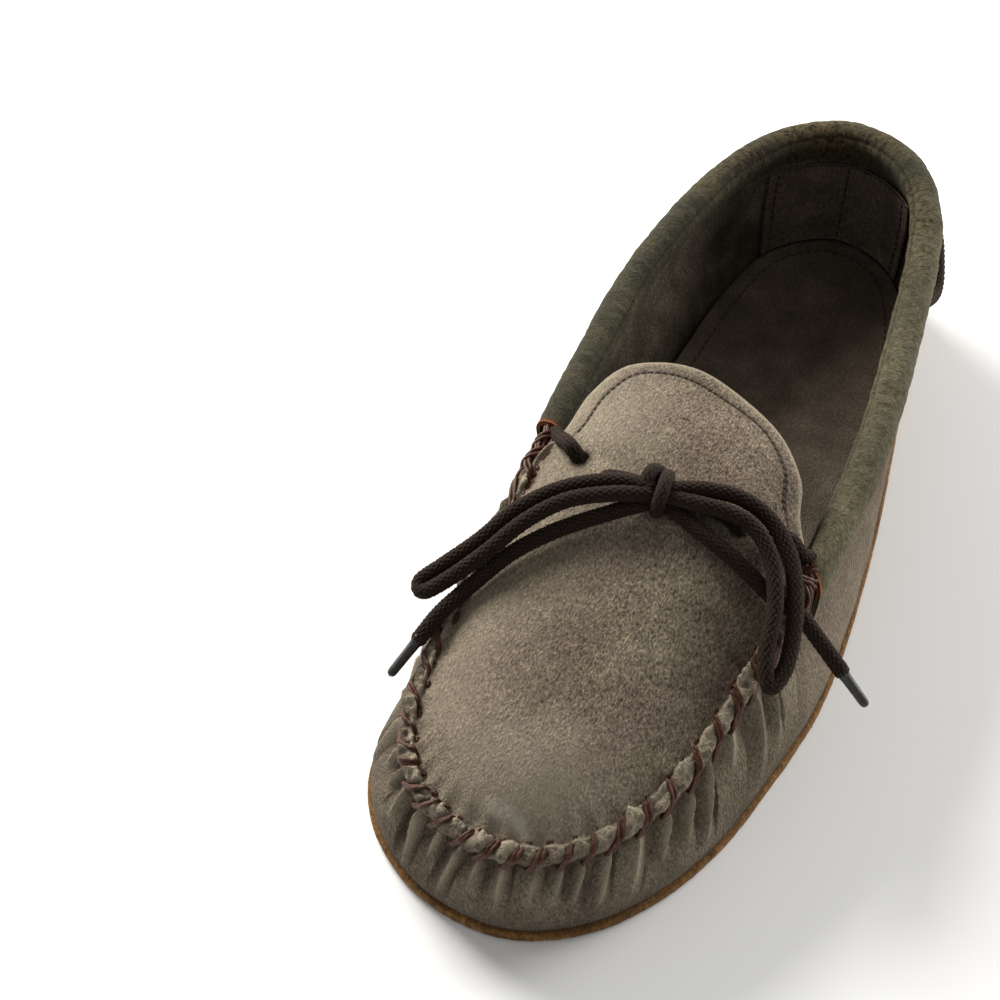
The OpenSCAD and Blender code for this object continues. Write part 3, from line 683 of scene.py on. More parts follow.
# ------------------------------------------------------------------ camera
AZ, EL, ROLL, DIST = 21.0, 49.0, -1.73, 520.0
az, el, roll = math.radians(AZ), math.radians(EL), math.radians(ROLL)
target = np.array([-70.5, -5.26, 0.0]) - MID
back = np.array([math.sin(az) * math.cos(el), -math.cos(az) * math.cos(el), math.sin(el)])
right = np.array([math.cos(az), math.sin(az), 0.0])
upv = np.cross(back, right)
right, upv = right * math.cos(roll) + upv * math.sin(roll), -right * math.sin(roll) + upv * math.cos(roll)
cam_data = bpy.data.cameras.new("camera")
cam_data.sensor_width = 36
cam_data.lens = 60.22
cam_data.clip_start, cam_data.clip_end = .01, 20
cam = bpy.data.objects.new("camera", cam_data)
m = Matrix.Identity(4)
for i in range(3):
    m[i][0], m[i][1], m[i][2], m[i][3] = right[i], upv[i], back[i], (target[i] + DIST * back[i]) * MM
cam.matrix_world = m
scene.collection.objects.link(cam)
scene.camera = cam

# ------------------------------------------------------------------ lace
BRAID_STEP = .26
# the lace's way through the suede, and its middle's height over and under the skin there
way_r = lace_d / 2 + .4
on = way_r + .1
under = -suede_t - way_r - .1
knot = skin(3.86, 0) + UP * 4.4
hole_r = 1.9
HOLES = hole_l2, hole_l1, hole_r2, hole_r1 = skin(3.87, -.42), skin(4, -.66), skin(3.93, .52), skin(4.03, .74)
channel_drop, heel_drop, heel_in = 1.9, 14.2, 1.4


def chan(s):
    """Middle of the lace inside the collar's roll."""
    return top_at(np.array(float(s))) - UP * channel_drop


def heel_run(s):
    """Middle of the lace outside the heel, under the roll."""
    s = np.array(float(s))
    return top_at(s) + out_dir(s) * (collar_r + lace_d / 2 - heel_in) - UP * heel_drop


RUN = pts([
    knot + [-2.5, 1.5, -1.6], knot + [-8, 2.4, -2], hole_l2 + UP * on + [1.5, 0, 0], hole_l2 - UP * .6,
    hole_l2 * .55 + hole_l1 * .45 + UP * (under - .3), hole_l1 - UP, hole_l1 + UP * on * .8 + [-4, 2.2, 0],
    chan(S0 - .06) + [4, -1, 4], chan(S0 + .06) + [.3, 0, 0],
    *[chan(s) for s in (13.5, 13.8, 14.2, 14.6, 15, 15.3)],
    *[heel_run(s) for s in (15.75, 16.1, 16.5, 16.9, 17.2, 17.5, 17.75, 18)],
    *[heel_run(s) for s in (18.25, 18.5, 18.8, 19.1, 19.5, 19.9, 20.3)],
    *[chan(s) for s in (20.75, 21.1, 21.5, 21.9, 22.3, 22.6)],
    chan(S1 - .08), chan(S1 + .02) + [-3.5, -1, 4], hole_r1 + UP * on * .8 + [3.6, 0, 0], hole_r1 - UP,
    hole_r1 * .5 + hole_r2 * .5 + UP * (under + .4), hole_r2 - UP * .6, hole_r2 + UP * on + [-1.8, 0, .2],
    knot + [8, 1.6, -2], knot + [2.5, 1.5, -1.6]])


def rel(rows):
    return knot + pts(rows)


LOOP_L = rel([
    (-2.5, -1, 1.4), (-13, -2, 1.4), (-25, -6, -1.4), (-35, -13, -5.6), (-43, -22, -11.6), (-51, -28, -18),
    (-56, -32.5, -21.6), (-54, -35.4, -21.8), (-48, -32.4, -17.6), (-39.8, -25.6, -11.2), (-32, -17.2, -5.2),
    (-23, -10.2, -1.2), (-12, -6.4, 1.4), (-2.5, -3, 1)])
LOOP_R = rel([
    (2.5, -.5, 2.2), (11, 2, 2.4), (21, 3.4, .6), (30, .6, -3), (36.8, -7, -7.2), (41, -19, -12.2),
    (42.2, -31, -17.4), (39.8, -37.6, -19), (36.8, -31.6, -15), (35.8, -20, -9.6), (31.8, -9.6, -4.6),
    (25.6, -3.8, -1), (19, -2.2, .6), (11, -2.6, 1.6), (2.5, -2.4, 1.4)])
TAIL_L = rel([
    (-2.5, -3, -2.2), (-12, -8.8, -3.8), (-24, -15.5, -7.8), (-34, -22.8, -12.8), (-42, -31.8, -18.8),
    (-47.5, -40, -22.4), (-51, -48, -26)])
TAIL_R = rel([
    (2.5, -2.5, -2.2), (13, -7.8, -3.2), (24, -11.8, -6.6), (34, -14.6, -12.8), (42, -16, -15.8),
    (49, -18, -22.4), (55.5, -20, -29)])


def lace_piece(name, ctrl, node, cut=None):
    p = smooth_path(ctrl)
    q, arc = resample(p, BRAID_STEP if cut is None else cut(p))
    o = piece(name, node, tube(q, lace_d / 2, SIDES, braid_shape(), arc=arc), M_lace)
    return o, q, arc[-1]


def run_step(p):
    """Fine where the lace shows, coarse inside the collar."""
    k = np.arange(len(p)) / PER
    hidden = ((k > 9.4) & (k < 14)) | ((k > 31) & (k < 35.6))
    return np.where(hidden, 1.4, .28)


lace_piece("lace_run", RUN, "lace_collar_run", run_step)
loop_l, path_ll, len_ll = lace_piece("lace_loop_left_braid", LOOP_L, "lace_loop_left")
loop_r, path_lr, len_lr = lace_piece("lace_loop_right_braid", LOOP_R, "lace_loop_right")
tail_l, path_tl, len_tl = lace_piece("lace_tail_left_braid", TAIL_L, "lace_tail_left")
tail_r, path_tr, len_tr = lace_piece("lace_tail_right_braid", TAIL_R, "lace_tail_right")

# knot: a wrap of the same lace round the bundle, and a second turn behind it
parts = []
th = np.linspace(0, 2 * math.pi, 90)
for cx, cy, tilt, ry, rz in ((.2, -.6, 7, 5.3, 4.1), (-2.6, 2.2, -24, 3.6, 3.3)):
    across = np.sin(th) * math.tan(math.radians(tilt)) * ry
    ring = np.stack([across, np.cos(th + .3) * ry, np.sin(th + .3) * rz], -1)
    q, arc = resample(ring + knot + [cx, cy, -.4], BRAID_STEP)
    parts.append(tube(q, lace_d / 2 * .9, SIDES, braid_shape(), False, arc))
piece("lace_knot_wrap", "lace_knot", join(parts), M_lace)


def aglet(name, path, node):
    """Hard tip on a tail's end, crimped where it holds the braid."""
    t = unit(path[-1] - path[-4])
    along = np.linspace(0, 12.6, 64)
    radius = np.interp(along, [0, .4, 1.2, 1.8, 3, 5, 8, 10.4, 11.6, 12.3, 12.6],
                       [1.9, 1.95, 1.75, 1.5, 1.42, 1.36, 1.32, 1.3, 1.22, .9, .2])

    def crimp(th, arc):
        return 1 + .02 * np.sin(th * 6) * (arc < 8), np.zeros_like(th)
    tip = tube(path[-1] - t * .8 + t * along[:, None], radius, 28, crimp)
    return piece(name, node, tip, M_aglet)


ag_l = aglet("aglet_left_tip", path_tl, "aglet_left")
ag_r = aglet("aglet_right_tip", path_tr, "aglet_right")


# ------------------------------------------------------------------ outsole
def sole_middle(y):
    """x of the sole's middle line."""
    return np.interp(y, [-150, -60, 40, 150], [-22, -14, -3, 3])


ns = 540
sv = np.arange(ns) * N_ST / ns
rows = []
# each row's distance outside the outline and its height, from under the sole round the edge to its top
for d, z in ((-14, 0.0), (-5, 0.0), (-1.2, 0.0), (-.35, .12), (-.05, .5), (.02, 1.1), (-.02, 1.7), (.0, 2.3),
             (-.1, 2.8), (-.5, 3.15), (-1.3, 3.22), (-2.6, 3.2)):
    p = with_z(sole_at(sv, d), z)
    if d > -1.4:
        j = noise3(p * [1, 1, 2.2], 1.1, 3) * .10 + noise3(p, 9, 4) * .12
        p = p + out_dir(sv) * (j * (1 if 0 < z < 3 else .4))[:, None]
    rows.append(p)
v = np.array(rows).reshape(-1, 3)
# the underside is closed by a strip to the middle line of the sole
low_y = rows[0][:, 1]
mid_row = with_z(np.stack([sole_middle(low_y), np.clip(low_y, -112, 116)], -1), 0.0)
i = np.arange(ns)
after = (i + 1) % ns
strip = np.stack([i + len(v), after + len(v), after, i], -1)
faces = np.vstack([grid_faces(len(rows), ns, True), strip])
piece("outsole_leather", "outsole", (np.vstack([v, mid_row]), faces, {}), M_outsole)

# ------------------------------------------------------------------ wrap with its pleats and puckered ridge
N_WHIP, W0, W1 = 28, 5.14, 12.94


def phase(s):
    """Counts the whip stitches along the seam: a whole number at each stitch."""
    return (s - W0) / (W1 - W0) * (N_WHIP - 1)


def stitch_s(j):
    return W0 + j * (W1 - W0) / (N_WHIP - 1)


def slant(s):
    """How far a stitch leans back between the wall and the apron, in stations: more on the inner side."""
    return -.17 - .17 * ease((np.asarray(s) - 9.6) / 1.6)


def seam_on(s):
    q = np.mod(s, N_ST)
    return ease((q - 4.95) / .2) * ease((13.05 - q) / .2)


PHI0 = math.radians(-35)  # where the ridge starts on the wall


def bead(s, phi, grow=0.0, rough=0.0):
    """Puckered ridge: s along it, phi 0 outside to 1 against the apron. Stitches pinch it on a slant."""
    k = phase(s - slant(s) * phi)
    j, f = np.floor(k), k - np.floor(k)
    m = np.sin(math.pi * f) ** .5 * (.5 + .85 * pick(j, 21)) * (1 - .7 * (f - .5) * (pick(j, 22) - .4))
    on_ = seam_on(s)
    ang = PHI0 * on_ + (math.pi * (1 + .14 * on_) - PHI0 * on_) * phi
    lip_ = np.exp(-((phi - .68) / .08) ** 2) * .75 * m
    e = wall(s, np.ones_like(s), np.zeros_like(s))
    n3 = out_dir(s)
    ra = suede_t / 2 + on_ * (.5 + .85 * m + lip_ * .5) + grow
    rb = suede_t / 2 + on_ * (.1 + 1.15 * m + lip_) + grow
    if rough:
        q = e + n3 * (ra * np.cos(ang))[:, None] + UP * (rb * np.sin(ang))[:, None]
        q = on_ * rough * (.25 + .75 * m) * (noise3(q, 3.1, 41) * .8 + noise3(q, 1.7, 45) * .35)
        ra, rb = ra + q, rb + q
    p = e + n3 * (ra * np.cos(ang))[:, None]
    p[:, 2] += rb * (np.sin(ang) - math.sin(PHI0) * on_) - 1.5 * on_
    return p, m


def pleats(s, v):
    """Outward push of the gathered wall in mm, the painted shade in its troughs and the painted highlight on
    its creases.
    """
    amp = ease((s - 5.2) / 1.2) * ease((12.9 - s) / 1.2)
    lean = 1.25 * ease((10.4 - s) / 3) + .15
    k = phase(s) - lean * (1 - v) * 1.15 + .16 * np.sin(s * 5.1 + v * 3)
    j = np.floor(k + .5)
    d = k - j + .06
    reach = .5 + .5 * pick(j, 5)
    size = .5 + 1.05 * pick(j, 9)
    down = ease((v - (1 - reach)) / (reach * .7)) * amp
    sharp = np.exp(-(np.abs(d) / np.where(d > 0, .05, .17)) ** 1.15)
    broad = np.cos(2 * math.pi * d)
    push = down * size * (1.7 * sharp + 1.3 * broad - 1.5) + amp * .6 * np.sin(s * 7.3 + v * 2) * ease(v / .4)
    return push, down * size * np.clip(.5 - .5 * broad, 0, 1), down * size * sharp


s_all = np.concatenate([np.linspace(4.8, 13.2, 900, endpoint=False),
                        np.linspace(13.2, N_ST + 4.8, 180, endpoint=False)])
ncol = len(s_all)
seamy = seam_on(s_all)
s_mod = np.mod(s_all, N_ST)
n_all = out_dir(s_all)
rows, a_highlight_and_raw_edge, a_painted_shade = [], [], []
foot_bead = bead(s_all, 0 * s_all, 0, 1)[0]
top_mid = wall(s_all, 1, 0)
k0 = phase(s_all)
tuck = np.exp(-((k0 - np.round(k0)) / .16) ** 2)
for vv in np.concatenate([np.linspace(0, .1, 5)[:-1], np.linspace(.1, 1, 56)[:-1]]):
    push, trough_shade, crest_highlight = pleats(s_mod, vv)
    push *= seamy
    blend = ease((vv - .86) / .14)
    notch = seamy * (np.exp(-((vv - .87) / .05) ** 2) * (.8 + 1.1 * tuck))
    p = wall(s_all, vv, suede_t / 2 + push * (1 - .7 * blend) - notch)
    q = noise3(p, 26, 31) * .5 + noise3(p, 8, 32) * .18
    p = p + n_all * (q * ease(vv / .15) * (1 - blend))[:, None]
    at_bead = wall(s_all, vv, 0) + foot_bead - top_mid - n_all * (notch * (1 - blend))[:, None]
    rows.append(p * (1 - blend) + at_bead * blend)
    # painted shade: in the pleats' troughs, in the notch under the ridge, darker towards the sole, and a dark
    # line at the wall's foot
    low_wall_shade = .16 * ease((.5 - vv) / .5) * seamy
    a_painted_shade.append(np.clip(trough_shade * .5 + notch * .6 + low_wall_shade, 0, 1) + .8 * np.exp(-(vv / .025) ** 2))
    # painted highlight on the pleats' crests
    a_highlight_and_raw_edge.append(np.clip(crest_highlight * 1.1, 0, 1) * (1 - blend) * seamy)
for phi in np.linspace(0, 1, 18):
    p, m = bead(s_all, phi, 0, 1)
    q = seamy * (noise3(p, 1.3, 42) * .42 + noise3(p, .6, 43) * .22)
    q = q * (.5 + math.exp(-((phi - .7) / .2) ** 2))
    p = p + n_all * (q * math.cos(math.pi * phi))[:, None] + UP * (q * math.sin(math.pi * phi))[:, None]
    rows.append(p)
    lobe = m * seamy
    # the ridge's lighter raw edge, strongest on its lip and on the biggest lobes
    a_highlight_and_raw_edge.append(lobe * (np.exp(-((phi - .68) / .15) ** 2) * 1.5 + .2) * (.7 + .8 * noise3(p, 1.1, 44)))
    # painted shade in the pinches between lobes and in the crevices on both sides of the ridge
    hollow_shade = 1.25 - m * 1.5 + 1.2 * ease((phi - .86) / .1) + .7 * ease((.12 - phi) / .12)
    a_painted_shade.append(seamy * np.clip(hollow_shade, 0, 1))
n_outer = len(rows)
for vv in np.concatenate([np.linspace(1, .12, 14)[1:], [.05, .02]]):
    p = wall(s_all, vv, -suede_t / 2 - seamy * .3)
    p[:, 2] -= seamy * 1.5 * ease(vv)
    q = noise3(p, 22, 51) * .4 * (1 - seamy)
    p = p + n_all * (q * ease((1 - vv) / .25))[:, None]
    rows.append(p)
    a_highlight_and_raw_edge.append(np.zeros(ncol))
    # painted shade inside, low on the wall by the floor
    a_painted_shade.append(np.full(ncol, .4 * np.exp(-(vv / .06) ** 2)))
f = grid_faces(len(rows), ncol, True)
slots = np.repeat((np.arange(len(rows) - 1) >= n_outer).astype(int), ncol)
attrs = {"edge": np.clip(np.array(a_highlight_and_raw_edge), 0, 1), "crease": np.clip(np.array(a_painted_shade), 0, 1)}
mesh = np.array(rows).reshape(-1, 3), f, attrs
piece("wrap_suede", "moccasin_wrap", mesh, [M_wrap, M_inside], slots)

# ------------------------------------------------------------------ apron and tongue, one piece of suede
r_rows = np.concatenate([np.linspace(0, 1, 36)[:-1], np.linspace(1, 4, 100)[:-1],
                         np.linspace(4, 6.6, 62)[:-1], np.linspace(6.6, 8, 46)])
half = np.concatenate([np.linspace(0, .86, 40)[:-1], np.linspace(.86, 1, 18)])
RR, UU = np.meshgrid(r_rows, np.concatenate([-half[::-1], half[1:]]), indexing="ij")
P = skin(RR, UU)
ea, eb = edges(RR)
edge_pt = np.where((UU >= 0)[..., None], ea, eb)
to_edge = (1 - np.abs(UU)) * np.linalg.norm((edge_pt - spine(RR))[..., :2], axis=-1)
on_tongue = ease((RR - 4.25) / .5)
seam_inset = 4.6  # from the tongue's edge to its seam
puckers = np.cos(2 * math.pi * phase(9 - np.sign(UU) * np.minimum(RR, 4) + .2))
ripple = np.exp(-(to_edge / 5) ** 2) * .45 * puckers
groove = on_tongue * np.exp(-((to_edge - seam_inset) / .55) ** 2)
edge_curl = on_tongue * ease((2.2 - to_edge) / 2.2)
P[..., 2] += apron_fold(P) + (1 - on_tongue) * (edge_rise(to_edge) + ripple) - .35 * groove - .3 * edge_curl

x, y = P[..., 0], P[..., 1]
# painted shade round the lace holes
hole_shade = np.zeros_like(RR)
for hole in HOLES:
    away = np.hypot(x - hole[0], y - hole[1])
    hole_shade = np.maximum(hole_shade, np.exp(-(np.maximum(away - hole_r, 0) / .9) ** 2))
sx, sy = x - tx(-1.5), y + .453 * L
streak = np.exp(-(((sx * .96 - sy * .29) / 5.5) ** 2 + ((sx * .29 + sy * .96) / 1.7) ** 2))
rubbed = np.exp(-(((x - tx(-2)) / 18) ** 2 + ((y + .40 * L) / 9) ** 2))
scuff = (1.5 * streak + .25 * rubbed) * (.65 + .4 * noise3(P, 4, 63) + .3 * noise3(P, 1.5, 66))
raw = (1 - on_tongue) * np.exp(-to_edge ** 2) * (.6 + .4 * noise3(P, 3, 64))
raw = raw + on_tongue * np.exp(-(to_edge / .9) ** 2)
# painted highlight: the skin is made lighter on the inner side and towards the toe, standing in for light
# falling there
middle_x = np.interp(y, [-.48 * L, C_MID[1], C_MID[1] + 40], [tx(0), C_MID[0], C_MID[0] - 4])
painted_highlight = ease((middle_x + 6 - x) / 34) * (.55 + .45 * on_tongue)
painted_highlight = np.maximum(painted_highlight, .7 * ease((-.33 * L - y) / (.11 * L))) * (.8 + .4 * noise3(P, 17, 67))

cen = (P[:-1, :-1] + P[1:, 1:]) / 2
keep = np.ones(cen.shape[:2], bool)
for hole in HOLES:
    keep &= np.hypot(cen[..., 0] - hole[0], cen[..., 1] - hole[1]) > hole_r
n_rows, n_cols = P.shape[:2]
nv = n_rows * n_cols
quads = grid_faces(n_rows, n_cols)[keep.ravel()]
top_v, low_v = P.reshape(-1, 3), (P - [0, 0, suede_t]).reshape(-1, 3)
# rounded raw edge: three rows on each side between the top and the underside
rim_v, rim_f = [], []
base = 2 * nv
left = np.arange(n_rows) * n_cols
for side, flip in ((left, True), (left + n_cols - 1, False)):
    outd = unit((top_v[side] - spine(r_rows)) * [1, 1, 0])
    chain = [side]
    for t in (.25, .5, .75):
        rim_v.append(top_v[side] * (1 - t) + low_v[side] * t + outd * .45 * math.sin(math.pi * t))
        chain.append(base + np.arange(n_rows))
        base += n_rows
    chain.append(side + nv)
    for p, q in zip(chain, chain[1:]):
        f4 = np.stack([p[:-1], p[1:], q[1:], q[:-1]], -1)
        rim_f.append(f4[:, ::-1] if flip else f4)
verts = np.vstack([top_v, low_v, *rim_v])
faces = np.vstack([quads[:, ::-1], quads + nv, *rim_f])
slots = np.zeros(len(faces), int)
slots[len(quads):2 * len(quads)] = 1
attrs = {}
# each look on the top, on the underside (as a share) and on the rim
for k, a, below, rim in (("painted_highlight", painted_highlight, 0, 0), ("edge", raw, 0, 1), ("scuff", scuff, 0, 0),
                         # crease: painted shade round the lace holes and in the seam groove, full on the
                         # underside
                         ("crease", np.maximum(hole_shade, groove * .35), 1, 0)):
    a = np.clip(a, 0, 1).ravel()
    attrs[k] = np.concatenate([a, a * below, np.full(base - 2 * nv, float(rim))])
apron_o = make("apron_tongue_suede", verts, faces, [M_apron, M_inside], slots, None, attrs)
fold_l, fold_r, fold_top = skin(5, -1), skin(5, 1), skin(5, 0)
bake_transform(apron_o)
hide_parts("apron", "tongue")

# tongue seam
line_r = np.concatenate([np.linspace(4.9, 7.98, 260), 16 - np.linspace(8.02, 11.2, 270)])
line_side = np.concatenate([np.ones(260), -np.ones(270)])
ea, eb = edges(line_r)
e = np.where((line_side > 0)[:, None], ea, eb)
kk = 1 - seam_inset / np.linalg.norm((e - spine(line_r))[:, :2], axis=1)
line = skin(line_r, kk * line_side)
line[:, 2] += apron_fold(line)
pairs = stitches(resample(line, 2.0)[0], 0, .88)
seam("tongue_seam", "tongue_edge_stitching", pairs, [UP] * len(pairs), .42, .4, .15, body="tongue")


# ------------------------------------------------------------------ whip stitches
def apron_at(s, inset, h):
    """A point on the apron, inset from its edge beside station s and h above it."""
    side = np.where(s < 9, 1.0, -1.0)
    r = np.abs(9 - s)
    k = 1 - inset / np.linalg.norm((seam_edge(s) - spine(r))[..., :2], axis=-1)
    p = skin(r, side * k)
    p[..., 2] += edge_rise(inset) + h
    return p


def whip_path(s, lean, grow):
    """Out of the wall, over the ridge with a lean in stations, and down into the apron."""
    phi = np.linspace(.06, .97, 10)
    low = np.array([s - lean * .35])
    return np.vstack([
        wall(low, .845, suede_t / 2 - .9), wall(low, .868, suede_t / 2 + .25),
        bead(s + lean * phi, phi, grow)[0],
        apron_at(np.array([s + lean * 1.15]), 1.7, .2), apron_at(np.array([s + lean * 1.2]), 2.3, -1.3)])


def thread(ctrl, radius, sides, shape, shift):
    q, arc = resample(smooth_path(ctrl, 5), .42)
    return tube(q, radius, sides, shape, arc=arc + shift)


parts = []
for j in range(N_WHIP):
    s = stitch_s(j)
    for off in (-1, 0, 1)[:2 + (pick(j, 72) > .45)]:
        lean = float(slant(s)) * (.85 + .3 * pick(j, 73))
        ctrl = whip_path(s + off * .026 + (pick(j, 71) - .5) * .03, lean, .35)
        parts.append(thread(ctrl, .56, 8, ply_shape(2.0, .22), 3 * pick(j, 75)))
# thick turns that bind each collar end to the wrap and the apron
for s0, step in ((5.16, -.062), (12.95, .062)):
    for k in range(5):
        s = s0 + k * step
        lean = (-.2, .12)[k % 2]
        for off in (-1, 1):
            ctrl = whip_path(s + off * .02 - lean * .4, lean, .5 + .45 * (k % 2))
            parts.append(thread(ctrl, .62, 10, ply_shape(3.0, .24), k))
piece("whip_thread", "apron_whip_stitching", join(parts), M_whip)


# ------------------------------------------------------------------ collar
def leg_mid(s):
    """Where the collar's legs end, on the wall's middle."""
    t = wall_top(s)
    v = 1 - (collar_leg + collar_low - edge_drop) / (1.05 * (t[..., 2] - floor_z))
    w = wall(s, v, np.zeros_like(s))
    w[..., 2] = top_at(s)[..., 2] - collar_low - collar_leg
    return w


nc = 900
sc = np.linspace(S0, S1, nc)
end_in, end_out = ease((S0 + .35 - sc) / .35), ease((sc - (S1 - .4)) / .4)
# the section: the outer leg from its foot, the roll by its angle, and the inner leg to its foot
PROFILE = [("leg", 1, k) for k in np.linspace(0, 1, 9)[:-1]]
PROFILE += [("arc", a, 0) for a in np.linspace(0, 180, 29)]
PROFILE += [("leg", -1, k) for k in np.linspace(1, 0, 9)[1:]]
FOLD = 148  # the angle where the roll is creased on its inner side


def collar_layer(ro, lo, crease):
    """One face of the band: ro is the roll's radius, lo the leg's distance from the wall's middle."""
    rows = []
    squeeze = 1 - .12 * np.maximum(end_in, end_out)
    for kind, x, k in PROFILE:
        outerness = x if kind == "leg" else math.cos(math.radians(x))
        w_out = .5 + .5 * outerness
        s = sc + end_out * .22 * w_out
        n3 = out_dir(s)
        c = top_at(s) - UP * collar_low
        at_ = c + [0, 0, outerness * 5]
        lump = .24 * noise3(at_, 16, 81) + .2 * noise3(at_, 4, 82) + .16 * noise3(at_ * [1, 1, .45], 1.7, 83)
        if kind == "arc":
            a = math.radians(x)
            r = (ro * squeeze + lump - crease * math.exp(-((x - FOLD) / 6) ** 2))[:, None]
            rows.append(c + n3 * r * math.cos(a) + UP * r * math.sin(a))
        else:
            g = leg_mid(s) - UP * (end_out * w_out * 2.2)[:, None]
            wide = lo + (ro * squeeze - lo) * k ** .75 + lump * k
            rows.append(g + (c - g) * k + n3 * (x * wide)[:, None])
    return np.array(rows)


lo = suede_t / 2 + .2
outer_l = collar_layer(collar_r, lo + collar_t, .55)
inner_l = collar_layer(collar_r - collar_t, lo, 0)
grid = np.concatenate([outer_l, inner_l[::-1]]).transpose(1, 0, 2)
nr, ko = grid.shape[1], len(outer_l)
# end caps between the outer and inner layer
caps = []
for row, flip in ((0, False), (nc - 1, True)):
    for i in range(ko - 1):
        q = [row * nr + i, row * nr + i + 1, row * nr + nr - 2 - i, row * nr + nr - 1 - i]
        caps.append(q[::-1] if flip else q)
f = np.vstack([grid_faces(nc, nr, True), np.array(caps)])
endness = np.maximum(np.exp(-((sc - S0) / .018) ** 2), np.exp(-((sc - S1) / .018) ** 2))
on_roll = np.array([.12 if kind == "leg" else 1.0 for kind, _, _ in PROFILE])
feet = np.zeros(nr)
feet[[0, 1, ko - 1, ko - 2]] = .25
cut_edge = np.clip(endness[:, None] * np.concatenate([on_roll, on_roll[::-1]]) + feet, 0, 1)
at_heel = ease((.5 + .5 * np.cos((sc - 18.3) * .75)) + .15)[:, None]
ochre = np.clip(.5 + .9 * noise3(grid, 11, 85) + .6 * noise3(grid, 4, 86), 0, 1) * at_heel
pale = np.clip(.6 + .6 * noise3(grid, 12, 87), 0, 1) * (.15 + .85 * ease((sc - 19.0) / 1.8))[:, None]
angle = np.array([x if kind == "arc" else 0.0 for kind, x, _ in PROFILE])
# painted shade along the crease on the roll's inner side
fold_line = np.exp(-((angle - FOLD) / 5) ** 2)
fold_line = np.concatenate([fold_line, 0 * fold_line])
ones = np.ones((nc, nr))
attrs = {"cut": cut_edge, "ochre": ochre, "pale": pale, "fold": ones * fold_line,
         "along": ones * (arc_of(top_at(sc)) * MM)[:, None], "round": ones * (arc_of(grid[nc // 2]) * MM)}
piece("collar_suede", "collar_binding", (grid.reshape(-1, 3), f, attrs), M_collar)

# fine seam on both legs of the collar
pairs, ups = [], []
path_s = np.linspace(S0 + .06, S1 - .1, nc)
for sgn in (1, -1):
    line = leg_mid(path_s) + out_dir(path_s) * sgn * (lo + collar_t + .12) + UP * 1.4
    q = resample(line, 2.9)[0]
    sq = np.interp(np.linspace(0, 1, len(q)), np.linspace(0, 1, nc), path_s)
    pairs += stitches(q, .05, .8)
    ups += list(out_dir(sq[:-1]) * sgn)
seam("collar_seam", "collar_stitching", pairs, ups, .6, .5, .05)

# ------------------------------------------------------------------ insole
insole_z = upper_floor_z + 2.6 + .3  # over the cushion and a gap
insole_in = -lip - suede_t - .8 - 1.0 - .9 + .6  # from the sole's outline to the insole's edge
rows, wear = [], []
ins_n = 360
si = np.arange(ins_n) * N_ST / ins_n
inner_y = np.clip(sole_at(si, -14.0)[:, 1], -112, 114)
inner = np.stack([sole_middle(inner_y), inner_y], -1)
rim_p = sole_at(si, insole_in)
# each row's share of the way to the middle line, and its height
for k, z in ((-.03, -.3), (-.034, 1.2), (-.03, 1.7), (-.015, 1.6), (.01, 1.35), (.03, 1.22), (.06, 1.2),
             (.1, 1.05), (.14, 1.12), *[(k / 10, 1.2) for k in range(2, 11)]):
    p = with_z(rim_p * (1 - k) + inner * k, insole_z + z)
    p[:, 2] += (k > .05) * (noise3(p, 24, 91) * .3 + noise3(p, 8, 92) * .08)
    p[:, 2] += ease((.1 - k) / .1) * (k > 0) * .3
    heel = np.exp(-(((p[:, 0] - 3) / 17) ** 2 + ((p[:, 1] - 105) / 24) ** 2))
    ball = np.exp(-(((p[:, 0] + 14) / 26) ** 2 + ((p[:, 1] + 55) / 30) ** 2))
    p[:, 2] -= (k > .05) * (heel * .5 + ball * .5)
    wear.append(np.clip((heel + ball) * (.6 + .5 * noise3(p, 12, 93)), 0, 1))
    rows.append(p)
mesh = np.array(rows).reshape(-1, 3), grid_faces(len(rows), ins_n, True), {"wear": np.array(wear)}
piece("insole_suede", "insole", mesh, M_insole)
s_l = np.linspace(0, N_ST, 1500)
line = with_z(sole_at(s_l, insole_in - 4.4), insole_z + 1.22)
pairs = stitches(resample(line, 3.2)[0], .04, .82)
seam("insole_seam", "insole_stitching", pairs, [UP] * len(pairs), .7, .5, mat=M_sock)

# ------------------------------------------------------------------ heel lining
lining_end = 1.22  # stations to each side of the heel
LINING_SEAMS = (-1.08, 0, 1.08)
lin_out = -suede_t / 2 - .15 - 1.0 - .15  # the lining's outer face, inside the wall's middle
lin_t = .9
nl, nvv = 120, 46
SU, VU = np.meshgrid(np.linspace(-lining_end, lining_end, nl), np.linspace(.15, .85, nvv), indexing="ij")
d = np.full(SU.shape, lin_out - lin_t)
for at in LINING_SEAMS:
    d += .35 * np.exp(-((SU - at) / .025) ** 2)
d += .35 * ease((np.abs(SU) - (lining_end - .06)) / .06)
front_l = wall(SU, VU, d)
front_l = front_l + out_dir(SU) * (.3 * noise3(front_l, 18, 95))[..., None]
back_l = wall(SU, VU, lin_out)
quads = grid_faces(nl, nvv)
nv = nl * nvv
number = np.arange(nv).reshape(nl, nvv)
sides = []
for line, flip in ((number[:, 0], True), (number[:, -1], False), (number[0], False), (number[-1], True)):
    strip = np.stack([line[:-1], line[1:], line[1:] + nv, line[:-1] + nv], -1)
    sides.append(strip[:, ::-1] if flip else strip)
verts = np.vstack([front_l.reshape(-1, 3), back_l.reshape(-1, 3)])
faces = np.vstack([quads, quads[:, ::-1] + nv, *sides])
piece("heel_lining_suede", "heel_lining", (verts, faces, {}), M_lining)


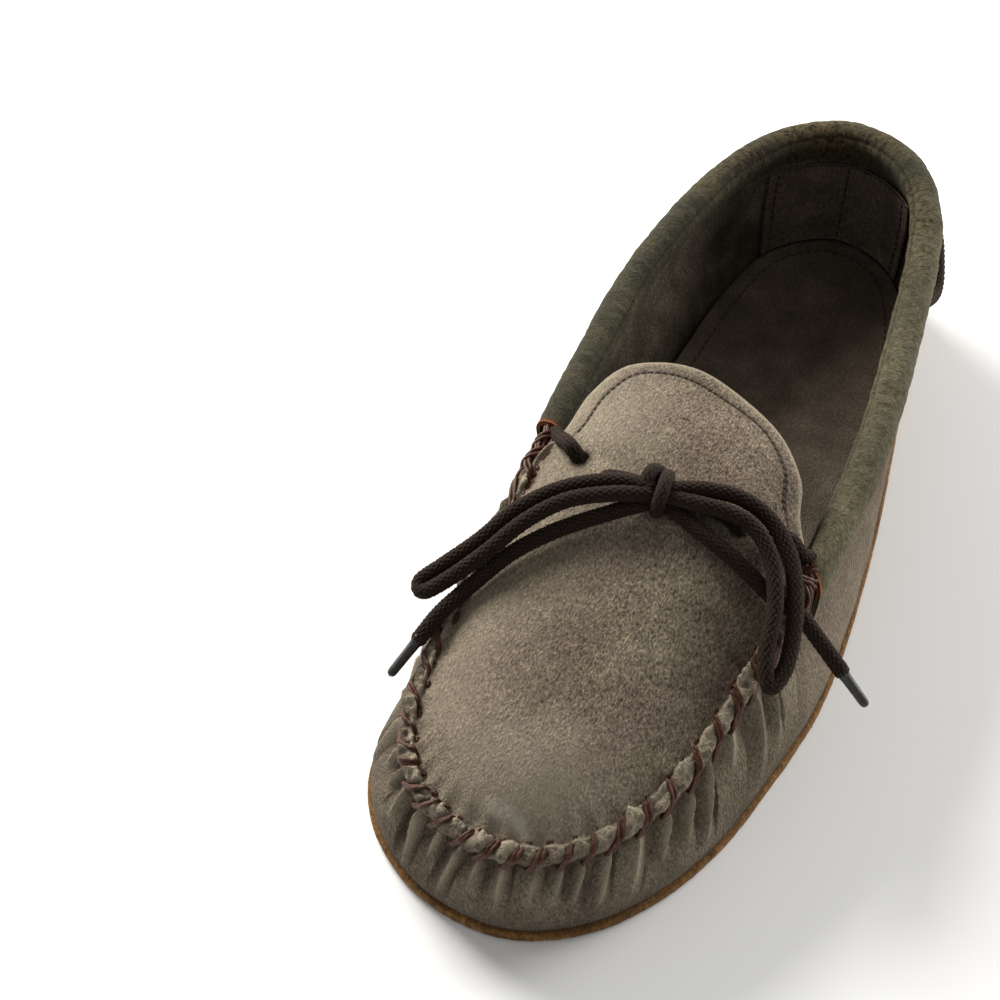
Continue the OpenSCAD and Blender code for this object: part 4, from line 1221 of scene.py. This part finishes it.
def upright_seams(name, node, stations, low, high, depth, step, side, height):
    """Seams up the wall, depth outside its middle, seen from outside (side 1) or inside (side -1)."""
    pairs, ups = [], []
    for s in stations:
        line = wall(s, np.linspace(low, high, 200), depth)
        found = stitches(resample(line, step)[0], .05, .8)
        pairs += found
        ups += [out_dir(np.array(s)) * side] * len(found)
    seam(name, node, pairs, ups, .7, height)


upright_seams("heel_lining_seam", "heel_lining_stitching", LINING_SEAMS, .17, .84,
              lin_out - lin_t + .22, 3.0, -1, .5)
upright_seams("back_seam", "back_seam_stitching", (-.09, .09), .05, .74, suede_t / 2 + .1, 2.9, 1, .55)

# hidden pieces keep their CAD shape
for node, mat in (("midsole_cushion", hidden_mat("foam", (.62, .6, .52))),
                  ("heel_counter", hidden_mat("stiffener", (.5, .46, .38)))):
    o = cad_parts[node]
    o.data.materials.clear()
    o.data.materials.append(mat)

# ------------------------------------------------------------------ floor and light
floor_mat = bpy.data.materials.new("floor")
floor_mat.use_nodes = True
floor_bsdf = floor_mat.node_tree.nodes["Principled BSDF"]
floor_bsdf.inputs["Base Color"].default_value = (.94, .94, .93, 1)
floor_bsdf.inputs["Roughness"].default_value = .9
bpy.ops.mesh.primitive_plane_add(size=6, location=(0, 0, -.0004))
floor = bpy.context.object
floor.name = "floor"
floor.data.materials.append(floor_mat)

world = bpy.data.worlds.new("studio")
scene.world = world
world.use_nodes = True
world.node_tree.nodes["Background"].inputs["Color"].default_value = (1, 1, 1, 1)
world.node_tree.nodes["Background"].inputs["Strength"].default_value = .37


def area(name, loc, to, size, power, col):
    """A round area lamp at loc that looks at a point; lengths in metres."""
    d = bpy.data.lights.new(name, "AREA")
    d.shape = "DISK"
    d.size = size
    d.energy = power
    d.color = col
    o = bpy.data.objects.new(name, d)
    o.location = loc
    o.rotation_mode = "QUATERNION"
    o.rotation_quaternion = (Vector(to) - Vector(loc)).to_track_quat("-Z", "Y")
    scene.collection.objects.link(o)


area("key", (-.95, .62, .72), (0, .02, .03), .7, 33, (1, .975, .94))
area("fill", (.92, 1.0, .42), (0, 0, .03), .9, 25, (1, .985, .96))
